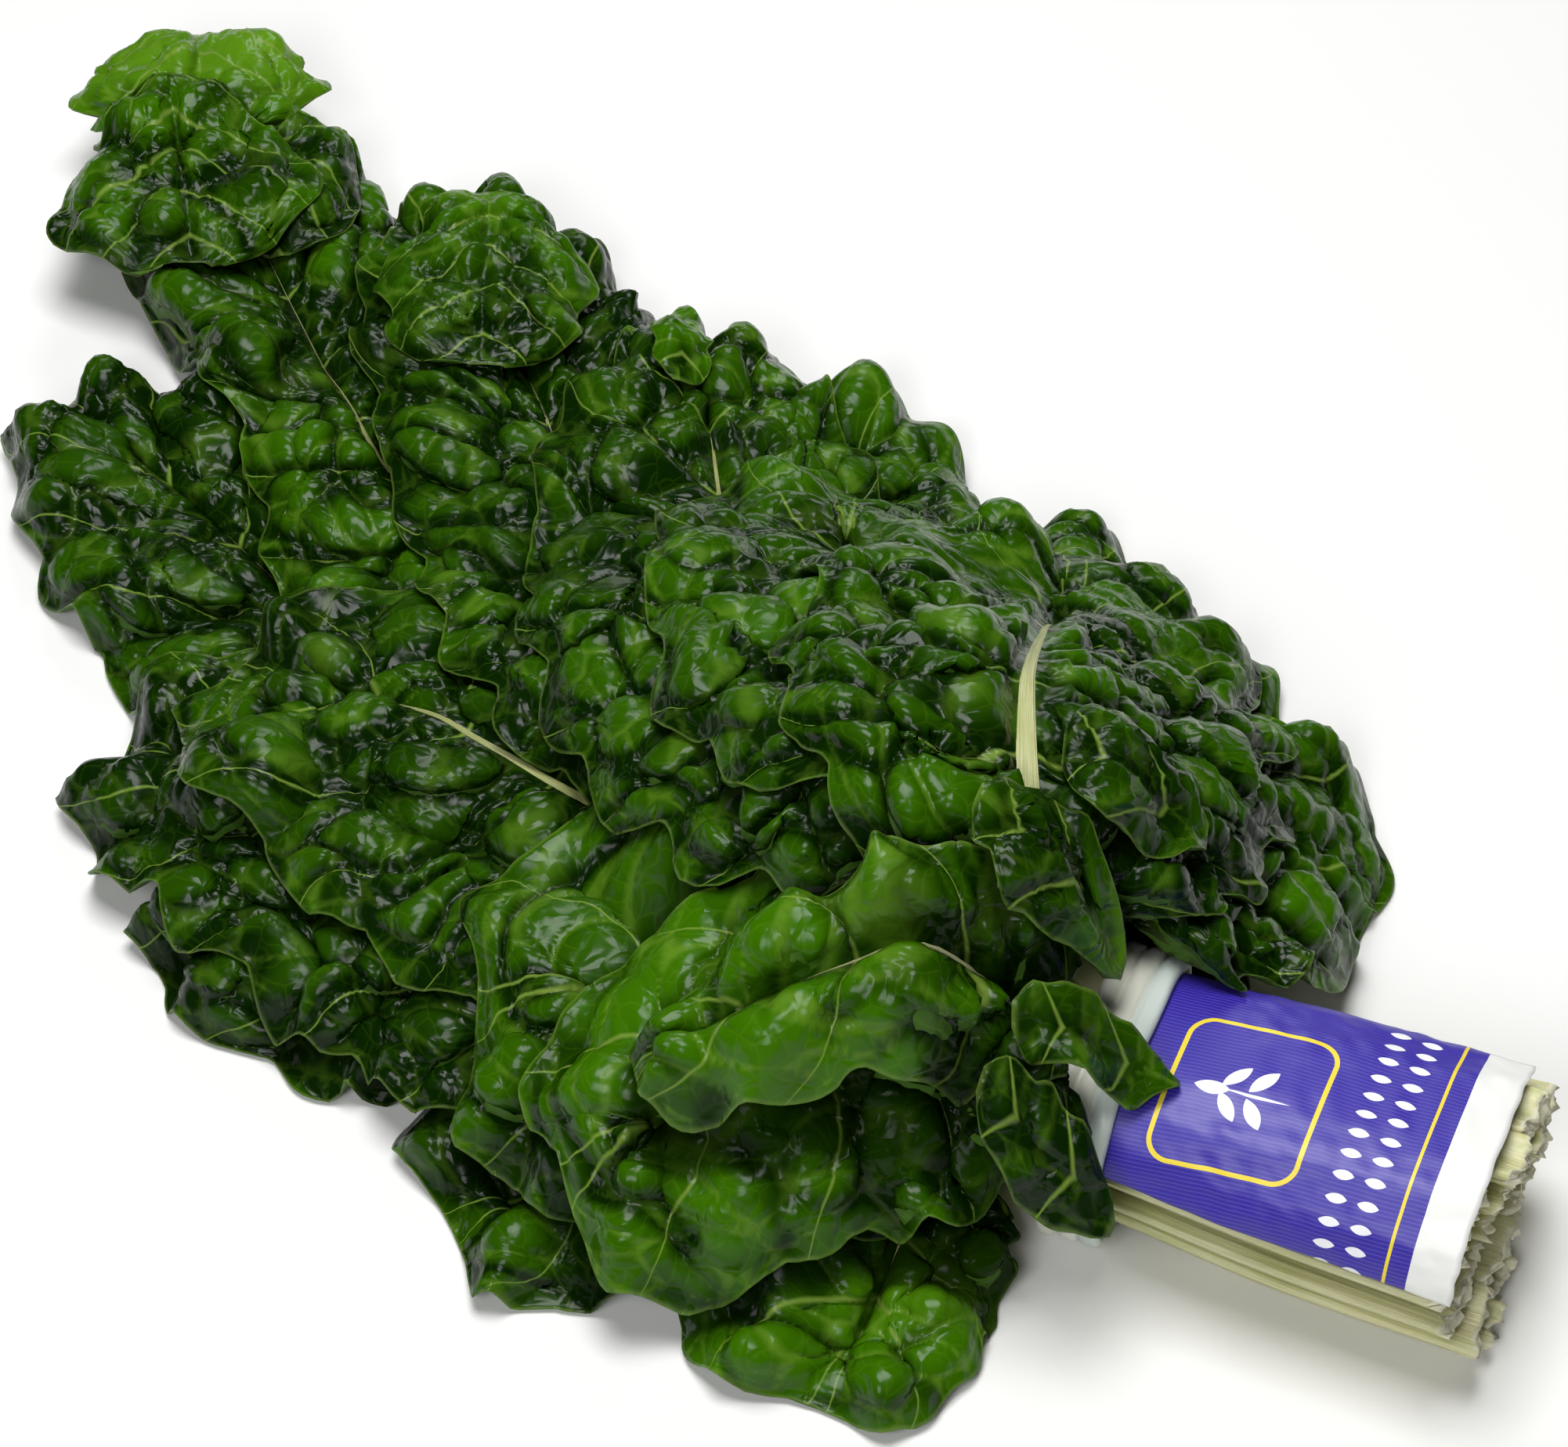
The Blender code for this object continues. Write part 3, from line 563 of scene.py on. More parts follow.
def half_blade(leaf, number, course, sign, p, share):
    """One half of a blade before it is puckered, as arrays over its side veins p and shares of their length.

    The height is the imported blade's, read on a smooth surface through its corners. Where the side veins
    draw together, it is the mean of that over half a vein to both sides. An arch from the midrib to the
    rim and a frill along the rim are added, and the rim curls down. Long folds are the lines on which a
    field of waves is nought.
    """
    coarse_p, lengths = vein_lengths(leaf, course)
    coarse_length = lengths[0 if sign < 0 else 1]
    coarse_share = np.linspace(0, 1, COLUMNS + 1) ** COLUMN_POWER
    packed_rib = stalk_size(leaf, course, course.root(coarse_p))[0] / 2 + RIB_GAP
    coarse_spots, _ = fan(leaf, course, coarse_p, coarse_length, coarse_share, sign, packed_rib)
    coarse_height = packed_heights(f"blade_{number:02d}", coarse_spots, np.nanmax)

    at_tip = smooth((course.veins - p) / 0.6)
    rim_wave = RIM_WAVE * waves(p * RIM_A_VEIN, 0.0, RIM_WAVE_LENGTH, number * 2 + 1) * at_tip
    length = resample(coarse_length, p * 2) + rim_wave
    length = length * (1 + RIM_BULGE * (np.abs(np.sin(np.pi * p)) - 0.5) * at_tip)
    length = length * (1 - 0.2 * (1 - p / 0.4).clip(0) ** 2)
    root = course.root(p)
    shown_rib = rib_share(leaf, course, root) * stalk_size(leaf, course, root)[0] / 2 - 0.3
    rib_wave = waves(root, 0.0, RIB_WAVE_LENGTH, number + (70 if sign > 0 else 75))
    shown_rib = shown_rib * (1 + RIB_WAVE * rib_wave)
    plan, out = fan(leaf, course, p, length, share, sign, shown_rib)
    height = resample(resample(coarse_height, p * 2).T, share ** (1 / COLUMN_POWER) * COLUMNS).T
    level = sliding(height, int(len(p) / course.veins / 2), np.mean)
    across = np.gradient(plan, p, axis=0)
    square = across - out * (across * out).sum(-1, keepdims=True)
    pitch = np.linalg.norm(square, axis=-1)
    height = mix(level, height, smooth((pitch - 4.0) / 14.0))

    arc = np.concatenate([[0], np.cumsum(np.linalg.norm(np.diff(plan[:, -1], axis=0), axis=1))])
    drift = waves(arc, 0.0, FRILL_DRIFT_LENGTH, number + 7 + (40 if sign > 0 else 0))
    phase = 2 * np.pi * arc / FRILL_LENGTH + FRILL_DRIFT * drift
    margin = smooth((share - 0.45) / 0.55)[None, :]
    near_tip = smooth(1 - (course.veins - p) / 3.0)
    wavy = (1 - 0.5 * near_tip) * at_tip
    frill = FRILL * np.sin(phase)[:, None] * margin * wavy[:, None]
    droop = CURL * (0.8 + 0.5 * waves(arc, 0.0, CURL_LENGTH, number + 9))[:, None]
    droop = droop * smooth((share - 0.75) * 4) ** 2
    height = height + ARCH * np.sin(np.pi * share)[None, :] * at_tip[:, None] + frill - droop
    fold = np.abs(waves_over(plan, FOLD_LENGTH, number + 60)).clip(0, 1) ** 0.6
    height = height + FOLD * (fold - 0.6) * smooth(share * 4)

    along_rim = np.gradient(plan, axis=0)
    along_rim = along_rim / np.maximum(np.linalg.norm(along_rim, axis=-1, keepdims=True), 1e-6)
    sway = FRILL * FRILL_SWAY * np.cos(phase)[:, None] * margin * wavy[:, None]
    plan = plan + along_rim * sway[..., None]
    wander = VEIN_WANDER * waves_over(plan, VEIN_WANDER_LENGTH, number + 80)
    wander = wander * smooth(share * 4) * at_tip[:, None]
    facts = {
        "vein_place": p[:, None] - (VEIN_BEND * share**2 * at_tip[:, None]) + wander,
        "vein_pitch": pitch,
        "side": np.full(pitch.shape, float(sign)),
        "near_tip": np.broadcast_to(near_tip[:, None], pitch.shape),
        "share": np.broadcast_to(share[None, :], pitch.shape),
        "to_rim": (1 - share)[None, :] * length[:, None],
        "reach": share[None, :] * length[:, None],
    }
    return plan, height, out, facts


def puckers(plan, height, out, facts, number):
    """Height and lean of the domes on a blade, and the distances to the nearest crease and dent border.

    The domes are the cells of a jittered grid that follows the side veins, cut by those veins. Each falls
    to its border as a circle does, to the dome's power, and carries smaller dents. A higher dome's flank
    leans out over a lower one beside it. Distances are let out by a share of the height, so that the
    domes and dents aren't drawn long on a slope.
    """
    near_tip = facts["near_tip"]
    let_out = SLOPE_LET_OUT * height
    spread = plan - out * let_out[..., None]
    warp = [DOME_WARP * waves_over(plan, DOME_WARP_LENGTH, number + seed) for seed in (50, 90)]
    x = facts["vein_place"] * DOMES_A_VEIN + warp[0]
    y = (facts["reach"] - let_out) / DOME_LENGTH + warp[1]
    border, kind, rival, outward = cells(x, y, number)
    border = border * np.minimum(facts["vein_pitch"] / DOMES_A_VEIN, DOME_LENGTH)
    turned = np.stack([-out[..., 1], out[..., 0]], -1) * facts["side"][..., None]
    outward = outward[..., :1] * turned + outward[..., 1:] * out
    tip_x, tip_y = (spread[..., k] / DOME_LENGTH + warp[k] for k in (0, 1))
    tip_border, tip_kind, _, _ = cells(tip_x, tip_y, number + 9)
    border = mix(border, tip_border * DOME_LENGTH, near_tip)
    kind = mix(kind, tip_kind * 0.7, near_tip)
    vein_gap = np.abs(facts["vein_place"] - np.round(facts["vein_place"])) * facts["vein_pitch"]
    edge = np.minimum(border, vein_gap + 9.0 * near_tip)
    dome = (1 - (1 - np.minimum(edge / DOME_EDGE, 1)) ** 2) ** DOME_POWER
    dent_x, dent_y = (spread[..., k] / DENT + warp[k] for k in (0, 1))
    dent_edge, dent_kind, _, _ = cells(dent_x, dent_y, number + 5)
    dent_edge = dent_edge * DENT
    dent = (1 - (1 - np.minimum(dent_edge / DENT_EDGE, 1)) ** 2) * (0.5 + 0.5 * dent_kind)
    puff = DOME_HEIGHT * dome * (0.5 + 0.6 * kind) + DENT_HEIGHT * dent
    puff = puff - VEIN_GROOVE * np.exp(-((vein_gap / VEIN_GROOVE_HALF) ** 2)) * (1 - near_tip)
    inside = smooth(facts["reach"] / 5.0) * (0.1 + 0.9 * smooth(facts["to_rim"] / 10.0))
    inside = inside * (1 - 0.3 * near_tip)
    flank = smooth(edge / 2.0) * (1 - smooth((border - 2.0) / 6.0))
    lean = OVERHANG * flank * (kind - rival).clip(0) * inside
    return puff * inside, lean[..., None] * outward, edge, dent_edge


def triangles(ids):
    """Two triangles for each square of a grid of point numbers, without those that are shut to a line."""
    a, b, c, d = ids[:-1, :-1], ids[:-1, 1:], ids[1:, 1:], ids[1:, :-1]
    turned = (np.indices(a.shape).sum(0) % 2 == 0)[..., None]
    first = np.where(turned, np.stack([a, b, c], -1), np.stack([a, b, d], -1))
    second = np.where(turned, np.stack([a, c, d], -1), np.stack([b, c, d], -1))
    faces = np.concatenate([first.reshape(-1, 3), second.reshape(-1, 3)])
    open_face = (faces[:, 0] != faces[:, 1]) & (faces[:, 1] != faces[:, 2]) & (faces[:, 0] != faces[:, 2])
    return faces[open_face]


def round_rim(ids):
    """A grid's point numbers round its rim, anticlockwise seen from above, the first again at the end."""
    return np.concatenate([ids[::-1, 0], ids[0, 1:], ids[1:, -1], ids[-1, -2::-1]])


def sheet_normals(points, faces):
    """Unit normals at a sheet's points: the sum of the face normals round each."""
    corner = points[faces]
    turn = np.cross(corner[:, 1] - corner[:, 0], corner[:, 2] - corner[:, 0])
    normal = np.zeros_like(points)
    for k in range(3):
        np.add.at(normal, faces[:, k], turn)
    return normal / np.maximum(np.linalg.norm(normal, axis=1, keepdims=True), 1e-9)


def make_blade(leaf, number, course, pile, cover, lifted_rib):
    """The blade as a closed shell: both halves in one grid that is one sheet past the midrib's end.

    Its height is its own, or a gap above what lies under it where that is higher. Then each point takes
    the mean of the four beside it, three times over. Close to the midrib it keeps its own height.
    """
    rows = 2 * int(RIM_TO_MIDRIB * (course.end - leaf.start) / ROW_STEP / 2)
    columns = 2 * int(max(leaf.left, leaf.right) / COLUMN_STEP / 2) + 1
    p = np.linspace(0, course.veins, rows + 1)
    share = np.linspace(0, 1, columns + 1)
    left_plan, left_height, left_out, left_facts = half_blade(leaf, number, course, -1, p, share)
    right_plan, right_height, right_out, right_facts = half_blade(leaf, number, course, 1, p, share)
    root = course.root(p)
    middle = course.point(root)[:, None]
    plan = np.concatenate([left_plan[:, ::-1], middle, right_plan], 1)
    out = np.concatenate([left_out[:, ::-1], right_out[:, :1], right_out], 1)
    between = (left_height[:, :1] + right_height[:, :1]) / 2 - 0.4
    height = np.concatenate([left_height[:, ::-1], between, right_height], 1)
    facts = {}
    for name in left_facts:
        left, right = left_facts[name], right_facts[name]
        facts[name] = np.concatenate([left[:, ::-1], (left[:, :1] + right[:, :1]) / 2, right], 1)

    near_rib = (1 - facts["share"]) ** 2
    height = height + lifted_rib(root)[:, None] * near_rib
    under = pile.read(pile.over(cover).ground() if leaf.over else pile.ground(), plan)
    clear = under + LIE_GAP * np.minimum(1, under + 0.7)
    free = smooth(facts["share"] * 8)
    settled = np.maximum(height, mix(height, clear, free))
    for _ in range(3):
        beside = settled[:-2, 1:-1] + settled[2:, 1:-1] + settled[1:-1, :-2] + settled[1:-1, 2:]
        settled[1:-1, 1:-1] = beside / 4
    height = np.maximum(mix(height, settled, free), LOWEST_SHEET)

    width = 2 * columns + 3
    ids = np.arange((rows + 1) * width).reshape(rows + 1, width)
    mid = columns + 1
    past_rib = np.nonzero(p >= course.veins - 0.5)[0]
    ids[past_rib, mid - 1:mid + 2] = ids[past_rib[0], mid]
    ids[-1, mid:] = ids[-1, mid::-1]
    rim = np.concatenate([ids[::-1, 0], ids[0, 1:], ids[1:, -1]])
    facts["tone"] = leaf.tone + TONE_WAVE * waves_over(plan, TONE_LENGTH, number + 21)
    return pucker(plan, height, out, facts, ids, rim, number)


def make_lobe(lobe, number, held):
    """A loose lobe as a closed shell: an egg-shaped puckered sheet, laid over all that is held.

    Its width is an ellipse's, times 1 less a share of the place u along the lobe, which runs from -1 to 1.
    Its belly stands above what it lies on, and where it is held, its rim droops from that height by the
    third power of the place.
    """
    _, middle, heading, half_length, half_width, tone, plain, least = lobe
    u = np.linspace(-1, 1, 2 * int(half_length / LOBE_STEP) + 1)[:, None]
    v = np.linspace(-1, 1, 2 * int(half_width) + 1)[None, :]
    wavy = 1 + LOBE_RIM_WAVE * waves(u * RIM_A_VEIN, 0 * v, LOBE_RIM_WAVE_LENGTH, number)
    width = half_width * np.sqrt(1 - (0.98 * u) ** 2) * (1 - LOBE_TAPER * u) * wavy
    forward = direction(heading)
    side = np.array([forward[1], -forward[0]])
    plan = np.array(middle) + forward * (u * half_length)[..., None] + side * (v * width)[..., None]
    height = held.read(held.ground(), plan) + LIE_GAP + LOBE_BELLY * (1 - v**2) * (1 - u**2)
    height = np.maximum(height, least - LOBE_DROOP * np.maximum(np.abs(u), np.abs(v)) ** 3)
    height = height + LOBE_WAVE * waves_over(plan, LOBE_WAVE_LENGTH, number + 3)
    facts = {
        "vein_place": (u * half_length + 0.8 * np.abs(v) * width) / LOBE_VEIN_PITCH + 0.5,
        "vein_pitch": np.full(width.shape, 11.0),
        "side": np.sign(v + 1e-6) * np.ones_like(u),
        "near_tip": np.full(width.shape, plain),
        "share": np.abs(v) * np.ones_like(u),
        "to_rim": (1 - np.maximum(np.abs(u), np.abs(v))) * half_width,
        "reach": np.abs(v) * width + 1.5,
        "tone": tone + 0.25 * u + TONE_WAVE * waves_over(plan, TONE_LENGTH / 2, number + 6),
    }
    out = np.broadcast_to(side, plan.shape) * facts["side"][..., None]
    ids = np.arange(width.size).reshape(width.shape)
    rim = round_rim(ids)
    return pucker(plan, height, out, facts, ids, rim, number)


def pucker(plan, height, out, facts, ids, rim, number):
    """A blade's sheet with its puckers, swelled a little, as a closed shell.

    Heights near the highest are drawn in by a hyperbolic tangent, so that no pucker stands above it.
    """
    points = np.concatenate([plan, height[..., None]], -1).reshape(-1, 3)
    faces = triangles(ids)
    puff, lean, facts["cell_edge"], facts["dent_edge"] = puckers(plan, height, out, facts, number)
    points = points + sheet_normals(points, faces) * puff.reshape(-1, 1)
    points[:, :2] += lean.reshape(-1, 2)
    swell = INFLATE * smooth(facts["reach"] / 7.0) * smooth(facts["to_rim"] / 6.0)
    points = points + sheet_normals(points, faces) * swell.reshape(-1, 1)
    points[:, 2] = np.maximum(points[:, 2], LOWEST_SHEET)
    over = (points[:, 2] - HIGHEST + HIGH_SPAN).clip(0)
    points[:, 2] += HIGH_SPAN * np.tanh(over / HIGH_SPAN) - over
    thin = mix(RIM_THICKNESS, THICKNESS, smooth(facts["to_rim"] / 3.0)).reshape(-1, 1)
    solid, faces = blade_shell(points, ids, rim, thin)
    facts["underside"] = np.zeros_like(height)
    del facts["side"], facts["near_tip"], facts["reach"]
    facts = {name: np.tile(value.ravel(), 2) for name, value in facts.items()}
    facts["underside"][len(points):] = 1.0
    return solid, faces, facts


def blade_shell(points, ids, rim, thickness):
    """A closed shell on a blade: the sheet, a twin under it, and a strip round the rim.

    The twin has every other row and column. It is let down by the thickness from the lowest of
    the nine points round each of its own, so the sheet comes nowhere through it.
    """
    height = points[ids, 2]
    lowest = sliding(sliding(height, 1, np.min).T, 1, np.min).T
    lowest[0], lowest[:, 0], lowest[:, -1] = height[0], height[:, 0], height[:, -1]
    twin = points.copy()
    twin[ids.ravel(), 2] = lowest.ravel()
    twin[:, 2] -= thickness[:, 0]
    twin[:, 2] = np.maximum(twin[:, 2], 0.1)
    count = len(points)
    first, middle, last = rim[:-1:2], rim[1::2], rim[2::2]
    sides = [np.stack(corners, 1) for corners in (
        (first, middle, first + count), (middle, last + count, first + count), (middle, last, last + count),
    )]
    faces = [triangles(ids), triangles(ids[::2, ::2])[:, ::-1] + count, *[side[:, ::-1] for side in sides]]
    return np.concatenate([points, twin]), np.concatenate(faces)


def shell(points, ids, rim, thickness):
    """A closed shell on a sheet: the sheet, its twin let down along the normals, and a strip round the rim.

    rim lists the points round the sheet, anticlockwise seen from above, its first point again at the end.
    """
    faces = triangles(ids)
    lower = points - sheet_normals(points, faces) * thickness
    count = len(points)
    sides = triangles(np.stack([rim, rim + count], 1))
    return np.concatenate([points, lower]), np.concatenate([faces, faces[:, ::-1] + count, sides])


def rib_line(leaf, number, course, pile):
    """Height of the midrib's middle by distance past the neck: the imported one, raised off what it lies on.

    The raise is the most that is wanted within 8 mm, then the mean of that within 8 mm.
    """
    s, z = rib_heights(leaf, course, f"stalk_{number:02d}")

    def packed_height(at):
        return curve_through(s, z, np.clip(at, s[0], s[-1]))

    fine = np.arange(course.butt - 4.0, course.last_vein + 4.0, 2.0)
    height = stalk_size(leaf, course, fine)[1]
    under = pile.read(pile.ground(), course.point(fine))
    wanted = (under + LIE_GAP + height / 2 - packed_height(fine)).clip(0) * smooth((fine - 14.0) / 24.0)
    wanted = np.where(fine > course.rib_end, 0.0, wanted)
    raised = sliding(sliding(wanted, 4, np.max), 4, np.mean)

    def raise_at(at):
        return np.interp(at, fine, raised)

    return packed_height, raise_at


def make_stalk(leaf, number, course, packed_height, raise_at):
    """The stalk and midrib: a smooth crescent carried along the course, ragged where it was cut.

    The crescent is a closed Catmull-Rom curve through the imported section's corners, and on the blade its
    top is rounded. Each ring is that curve times the stalk's width and height there, and the rings of both
    ends shrink to a point. Two fields of waves and a chance tilt make the cut ragged over its reach.
    """
    rng = np.random.default_rng(number + 300)
    body = np.arange(course.butt + 1.0, course.rib_end, STALK_STEP)
    cut = np.linspace(0, 1, CUT_RINGS + 1)
    s = np.concatenate([np.full(len(cut), course.butt), body, course.rib_end + np.array([0.0, 1.2, 1.8])])
    scale = np.concatenate([cut**0.8 * 0.96, np.ones(len(body)), [0.8, 0.5, 0.0]])
    scale[len(cut) - 1] = 0.97
    ring = np.vstack([SECTION[-1:], SECTION, SECTION[:2]])
    ring = resample(ring, 1 + np.arange(SECTION_POINTS + 1) * len(SECTION) / SECTION_POINTS)
    middle = np.array([0.0, -0.12])
    shape = middle + (ring - middle)[None] * scale[:, None, None]

    width, height = stalk_size(leaf, course, s)
    fade = smooth((course.rib_end + 2.0 - s) / RIB_FADE)
    shown = rib_share(leaf, course, s)
    width = width * shown * (0.45 + 0.55 * fade)
    height = height * (0.4 + 0.6 * shown) * (0.6 + 0.4 * fade)
    offset = shape[..., 0] * width[:, None]
    round_top = smooth((s - leaf.start) / ROUND_TOP_FROM)[:, None] * ROUND_TOP
    round_top = round_top * (1 - (2 * shape[..., 0]) ** 2).clip(0)
    up = (shape[..., 1] + round_top * (shape[..., 1] > 0.0)) * height[:, None]
    tilt = rng.normal(0, CUT_TILT, 2)
    at_cut = smooth((course.butt + CUT_REACH - s) / CUT_REACH)[:, None]
    rough = 1.3 * waves(offset, up, 6.0, number + 31) + 0.9 * waves(offset, up, 2.6, number + 32)
    along = s[:, None] + at_cut * (rough + tilt[0] * offset + tilt[1] * up)
    flare = at_cut * CUT_FLARE * waves(offset * 2, up, 4.0, number + 33) * scale[:, None]
    wave = STALK_WAVE * waves(along, 0.0, STALK_WAVE_LENGTH, number + 34) * smooth((along - 4) / 20)
    plan = course.point(along) + course.sideways(along) * (offset + flare + wave)[..., None]
    z = (packed_height(s) + raise_at(s) - height * 0.12 * (1 - fade))[:, None] + up
    z = np.maximum(z, 0.05)
    points = np.concatenate([plan, z[..., None]], -1).reshape(-1, 3)

    ids = np.arange(len(s) * (SECTION_POINTS + 1)).reshape(len(s), -1)
    ids[:, -1] = ids[:, 0]
    ids[0] = ids[0, 0]
    ids[-1] = ids[-1, 0]
    around = np.linalg.norm(np.diff(ring * [14.0, 5.0], axis=0), axis=1)
    around = np.concatenate([[0], np.cumsum(around)])
    facts = {
        "around": np.broadcast_to(around[None, :] + number * 50.0, offset.shape).ravel(),
        "along": np.broadcast_to(s[:, None], offset.shape).ravel(),
        "cut": np.repeat(np.where(np.arange(len(s)) < len(cut), 1.0, 0.0), SECTION_POINTS + 1),
    }
    return points, triangles(ids)[:, ::-1], facts


def bundle_outline(angle, clear):
    """A superellipse round the bundle at the neck: a point across and up for each angle."""
    half_across = 1.5 * COLUMN_PITCH_NECK + clear
    half_up = ROWS * ROW_PITCH_NECK / 2 + clear
    middle = NECK_LIFT + (ROWS * ROW_PITCH_NECK - STALK_GAP) / 2
    c, s = np.cos(angle), np.sin(angle)
    across = half_across * np.sign(c) * np.abs(c) ** (2 / OUTLINE_POWER)
    up = half_up * np.sign(s) * np.abs(s) ** (2 / OUTLINE_POWER)
    return across, middle + up


def place(along, across, up):
    """A point given along the bundle, across it and up."""
    plan = NECK + ALONG * along[..., None] + ACROSS * across[..., None]
    return np.concatenate([plan, up[..., None]], -1)


def make_band():
    """The band: three half-round turns side by side, carried round the bundle with a slight wander."""
    steps, fine = 120, 24
    angle = np.linspace(0, 2 * np.pi, steps + 1)[:, None]
    half = BAND_RIBS * BAND_RIB_WIDTH / 2
    x = np.linspace(-half, half, fine + 1)[None, :]
    in_turn = np.abs(np.mod((x + half) / BAND_RIB_WIDTH, 1.0) * 2 - 1)
    dome = np.sqrt(np.clip(1 - in_turn**2.4, 0, 1))
    dome[0, [0, -1]] = 0.0
    wander = 0.35 * np.sin(3 * angle + 0.8) + 0.2 * np.sin(7 * angle)
    out = BAND_THICKNESS * (0.35 + 0.65 * dome) * (1 + 0.06 * np.sin(11 * angle + x))
    across, up = bundle_outline(angle, BAND_CLEAR + out)
    outer = place(np.broadcast_to(x + wander, across.shape), across, up)
    across, up = bundle_outline(np.broadcast_to(angle, across.shape), BAND_CLEAR * 0.9)
    inner = place(np.broadcast_to(x + wander, across.shape), across, up)
    points = np.concatenate([outer, inner[:, ::-1]], 1)
    width = points.shape[1]
    ids = np.arange(points.shape[0] * width).reshape(-1, width)
    ids = np.concatenate([ids, ids[:, :1]], 1)
    ids[-1] = ids[0]
    turn = np.floor((x + half) / (BAND_RIB_WIDTH + 1e-6))
    turn = np.broadcast_to(np.concatenate([turn, turn[:, ::-1]], 1), points.shape[:2])
    return points.reshape(-1, 3), triangles(ids), {"turn": turn.ravel()}


def tag_surface(x, angle, lift):
    """A point of the tag by its place along the bundle and round it, lifted off its middle surface.

    It is the band's outline, grown towards the butt as the bundle is, with long soft wrinkles.
    """
    grow = 1 + (COLUMN_PITCH_BUTT / COLUMN_PITCH_NECK - 1) * np.clip(-x / BUTT_LENGTH, 0, 1)
    bare = smooth((-x - 9.0) / 14.0)
    wrinkle = 0.3 * waves(x * 0.4, angle * 30, 15.0, 5) + 0.1 * waves(x, angle * 30, 7.0, 6)
    clear = BAND_CLEAR - TAG_GAP - TAG_THICKNESS / 2 + lift + bare * (0.3 + wrinkle)
    across, up = bundle_outline(angle, clear)
    pitch, bundle_lift = row_pitch(np.minimum(x, 0.0))
    up = (up - NECK_LIFT) * pitch / ROW_PITCH_NECK + bundle_lift
    return place(x, across * grow, up)


def make_tag():
    """The tag: printed film round the bundle's top and flank, its front edge beneath the band."""
    half_band = BAND_RIBS * BAND_RIB_WIDTH / 2
    start = TAG_UNDER_BAND - half_band
    rows, columns = 64, 76
    x = np.linspace(start, start - TAG_LENGTH, rows + 1)[:, None] + np.zeros(columns + 1)
    angle = np.radians(np.linspace(TAG_FROM, TAG_TO, columns + 1))[None, :] + np.zeros((rows + 1, 1))
    torn = smooth((x - (start - TAG_LENGTH) - 5.0) / -5.0)
    x = x + torn * 0.2 * waves(angle * 30, 0.0, 7.0, 8)
    points = tag_surface(x, angle, 0.0)
    ids = np.arange(points.shape[0] * points.shape[1]).reshape(points.shape[:2])
    rim = round_rim(ids)
    across = np.cumsum(np.linalg.norm(np.diff(points, axis=1, prepend=points[:, :1]), axis=-1), axis=1)
    solid, faces = shell(points.reshape(-1, 3), ids, rim, TAG_THICKNESS * 0.5)
    facts = {"across": np.tile(across.ravel(), 2), "along": np.tile((start - x).ravel(), 2)}
    return solid, faces, facts


def add_piece(name, points, faces, facts, material, slot_name, *nodes):
    """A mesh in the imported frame, smooth shaded, with its facts as attributes, riding on the one body."""
    used, faces = np.unique(faces, return_inverse=True)
    faces = faces.reshape(-1, 3)
    mesh = bpy.data.meshes.new(name)
    mesh.vertices.add(len(used))
    mesh.vertices.foreach_set("co", ((points[used] - SHIFT) * MM).astype(np.float32).ravel())
    mesh.loops.add(faces.size)
    mesh.loops.foreach_set("vertex_index", faces.astype(np.int32).ravel())
    mesh.polygons.add(len(faces))
    mesh.polygons.foreach_set("loop_start", np.arange(0, faces.size, 3, dtype=np.int32))
    mesh.polygons.foreach_set("use_smooth", np.ones(len(faces), bool))
    mesh.update(calc_edges=True)
    mesh.validate()
    for fact, value in facts.items():
        attribute = mesh.attributes.new(fact, "FLOAT", "POINT")
        attribute.data.foreach_set("value", value[used].astype(np.float32))
    mesh.materials.append(material)
    made = bpy.data.objects.new(name, mesh)
    bpy.context.scene.collection.objects.link(made)
    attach(made, "root")
    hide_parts(*nodes)


def paint(hex_colour):
    """Linear RGBA for an sRGB hex colour."""
    values = [int(hex_colour[k:k + 2], 16) / 255 for k in (1, 3, 5)]
    return tuple(v / 12.92 if v <= 0.04045 else ((v + 0.055) / 1.055) ** 2.4 for v in values) + (1.0,)


def fill(made, inputs):
    """Gives each input of a node its value, or a link from an output or from a node's first one in use."""
    for name, value in inputs.items():
        if isinstance(value, bpy.types.Node):
            value = next(output for output in value.outputs if output.enabled)
        if isinstance(value, bpy.types.NodeSocket):
            made.id_data.links.new(value, made.inputs[name])
        else:
            made.inputs[name].default_value = value


def add_node(tree, kind, inputs=None, **settings):
    """Adds a node with its settings and its inputs."""
    made = tree.nodes.new("ShaderNode" + kind)
    for name, value in settings.items():
        setattr(made, name, value)
    fill(made, inputs or {})
    return made


def new_material(name):
    """A new material, its shader, and add_node for its tree."""
    material = bpy.data.materials.new(name)
    material.use_nodes = True
    tree = material.node_tree
    return material, tree.nodes["Principled BSDF"], functools.partial(add_node, tree)


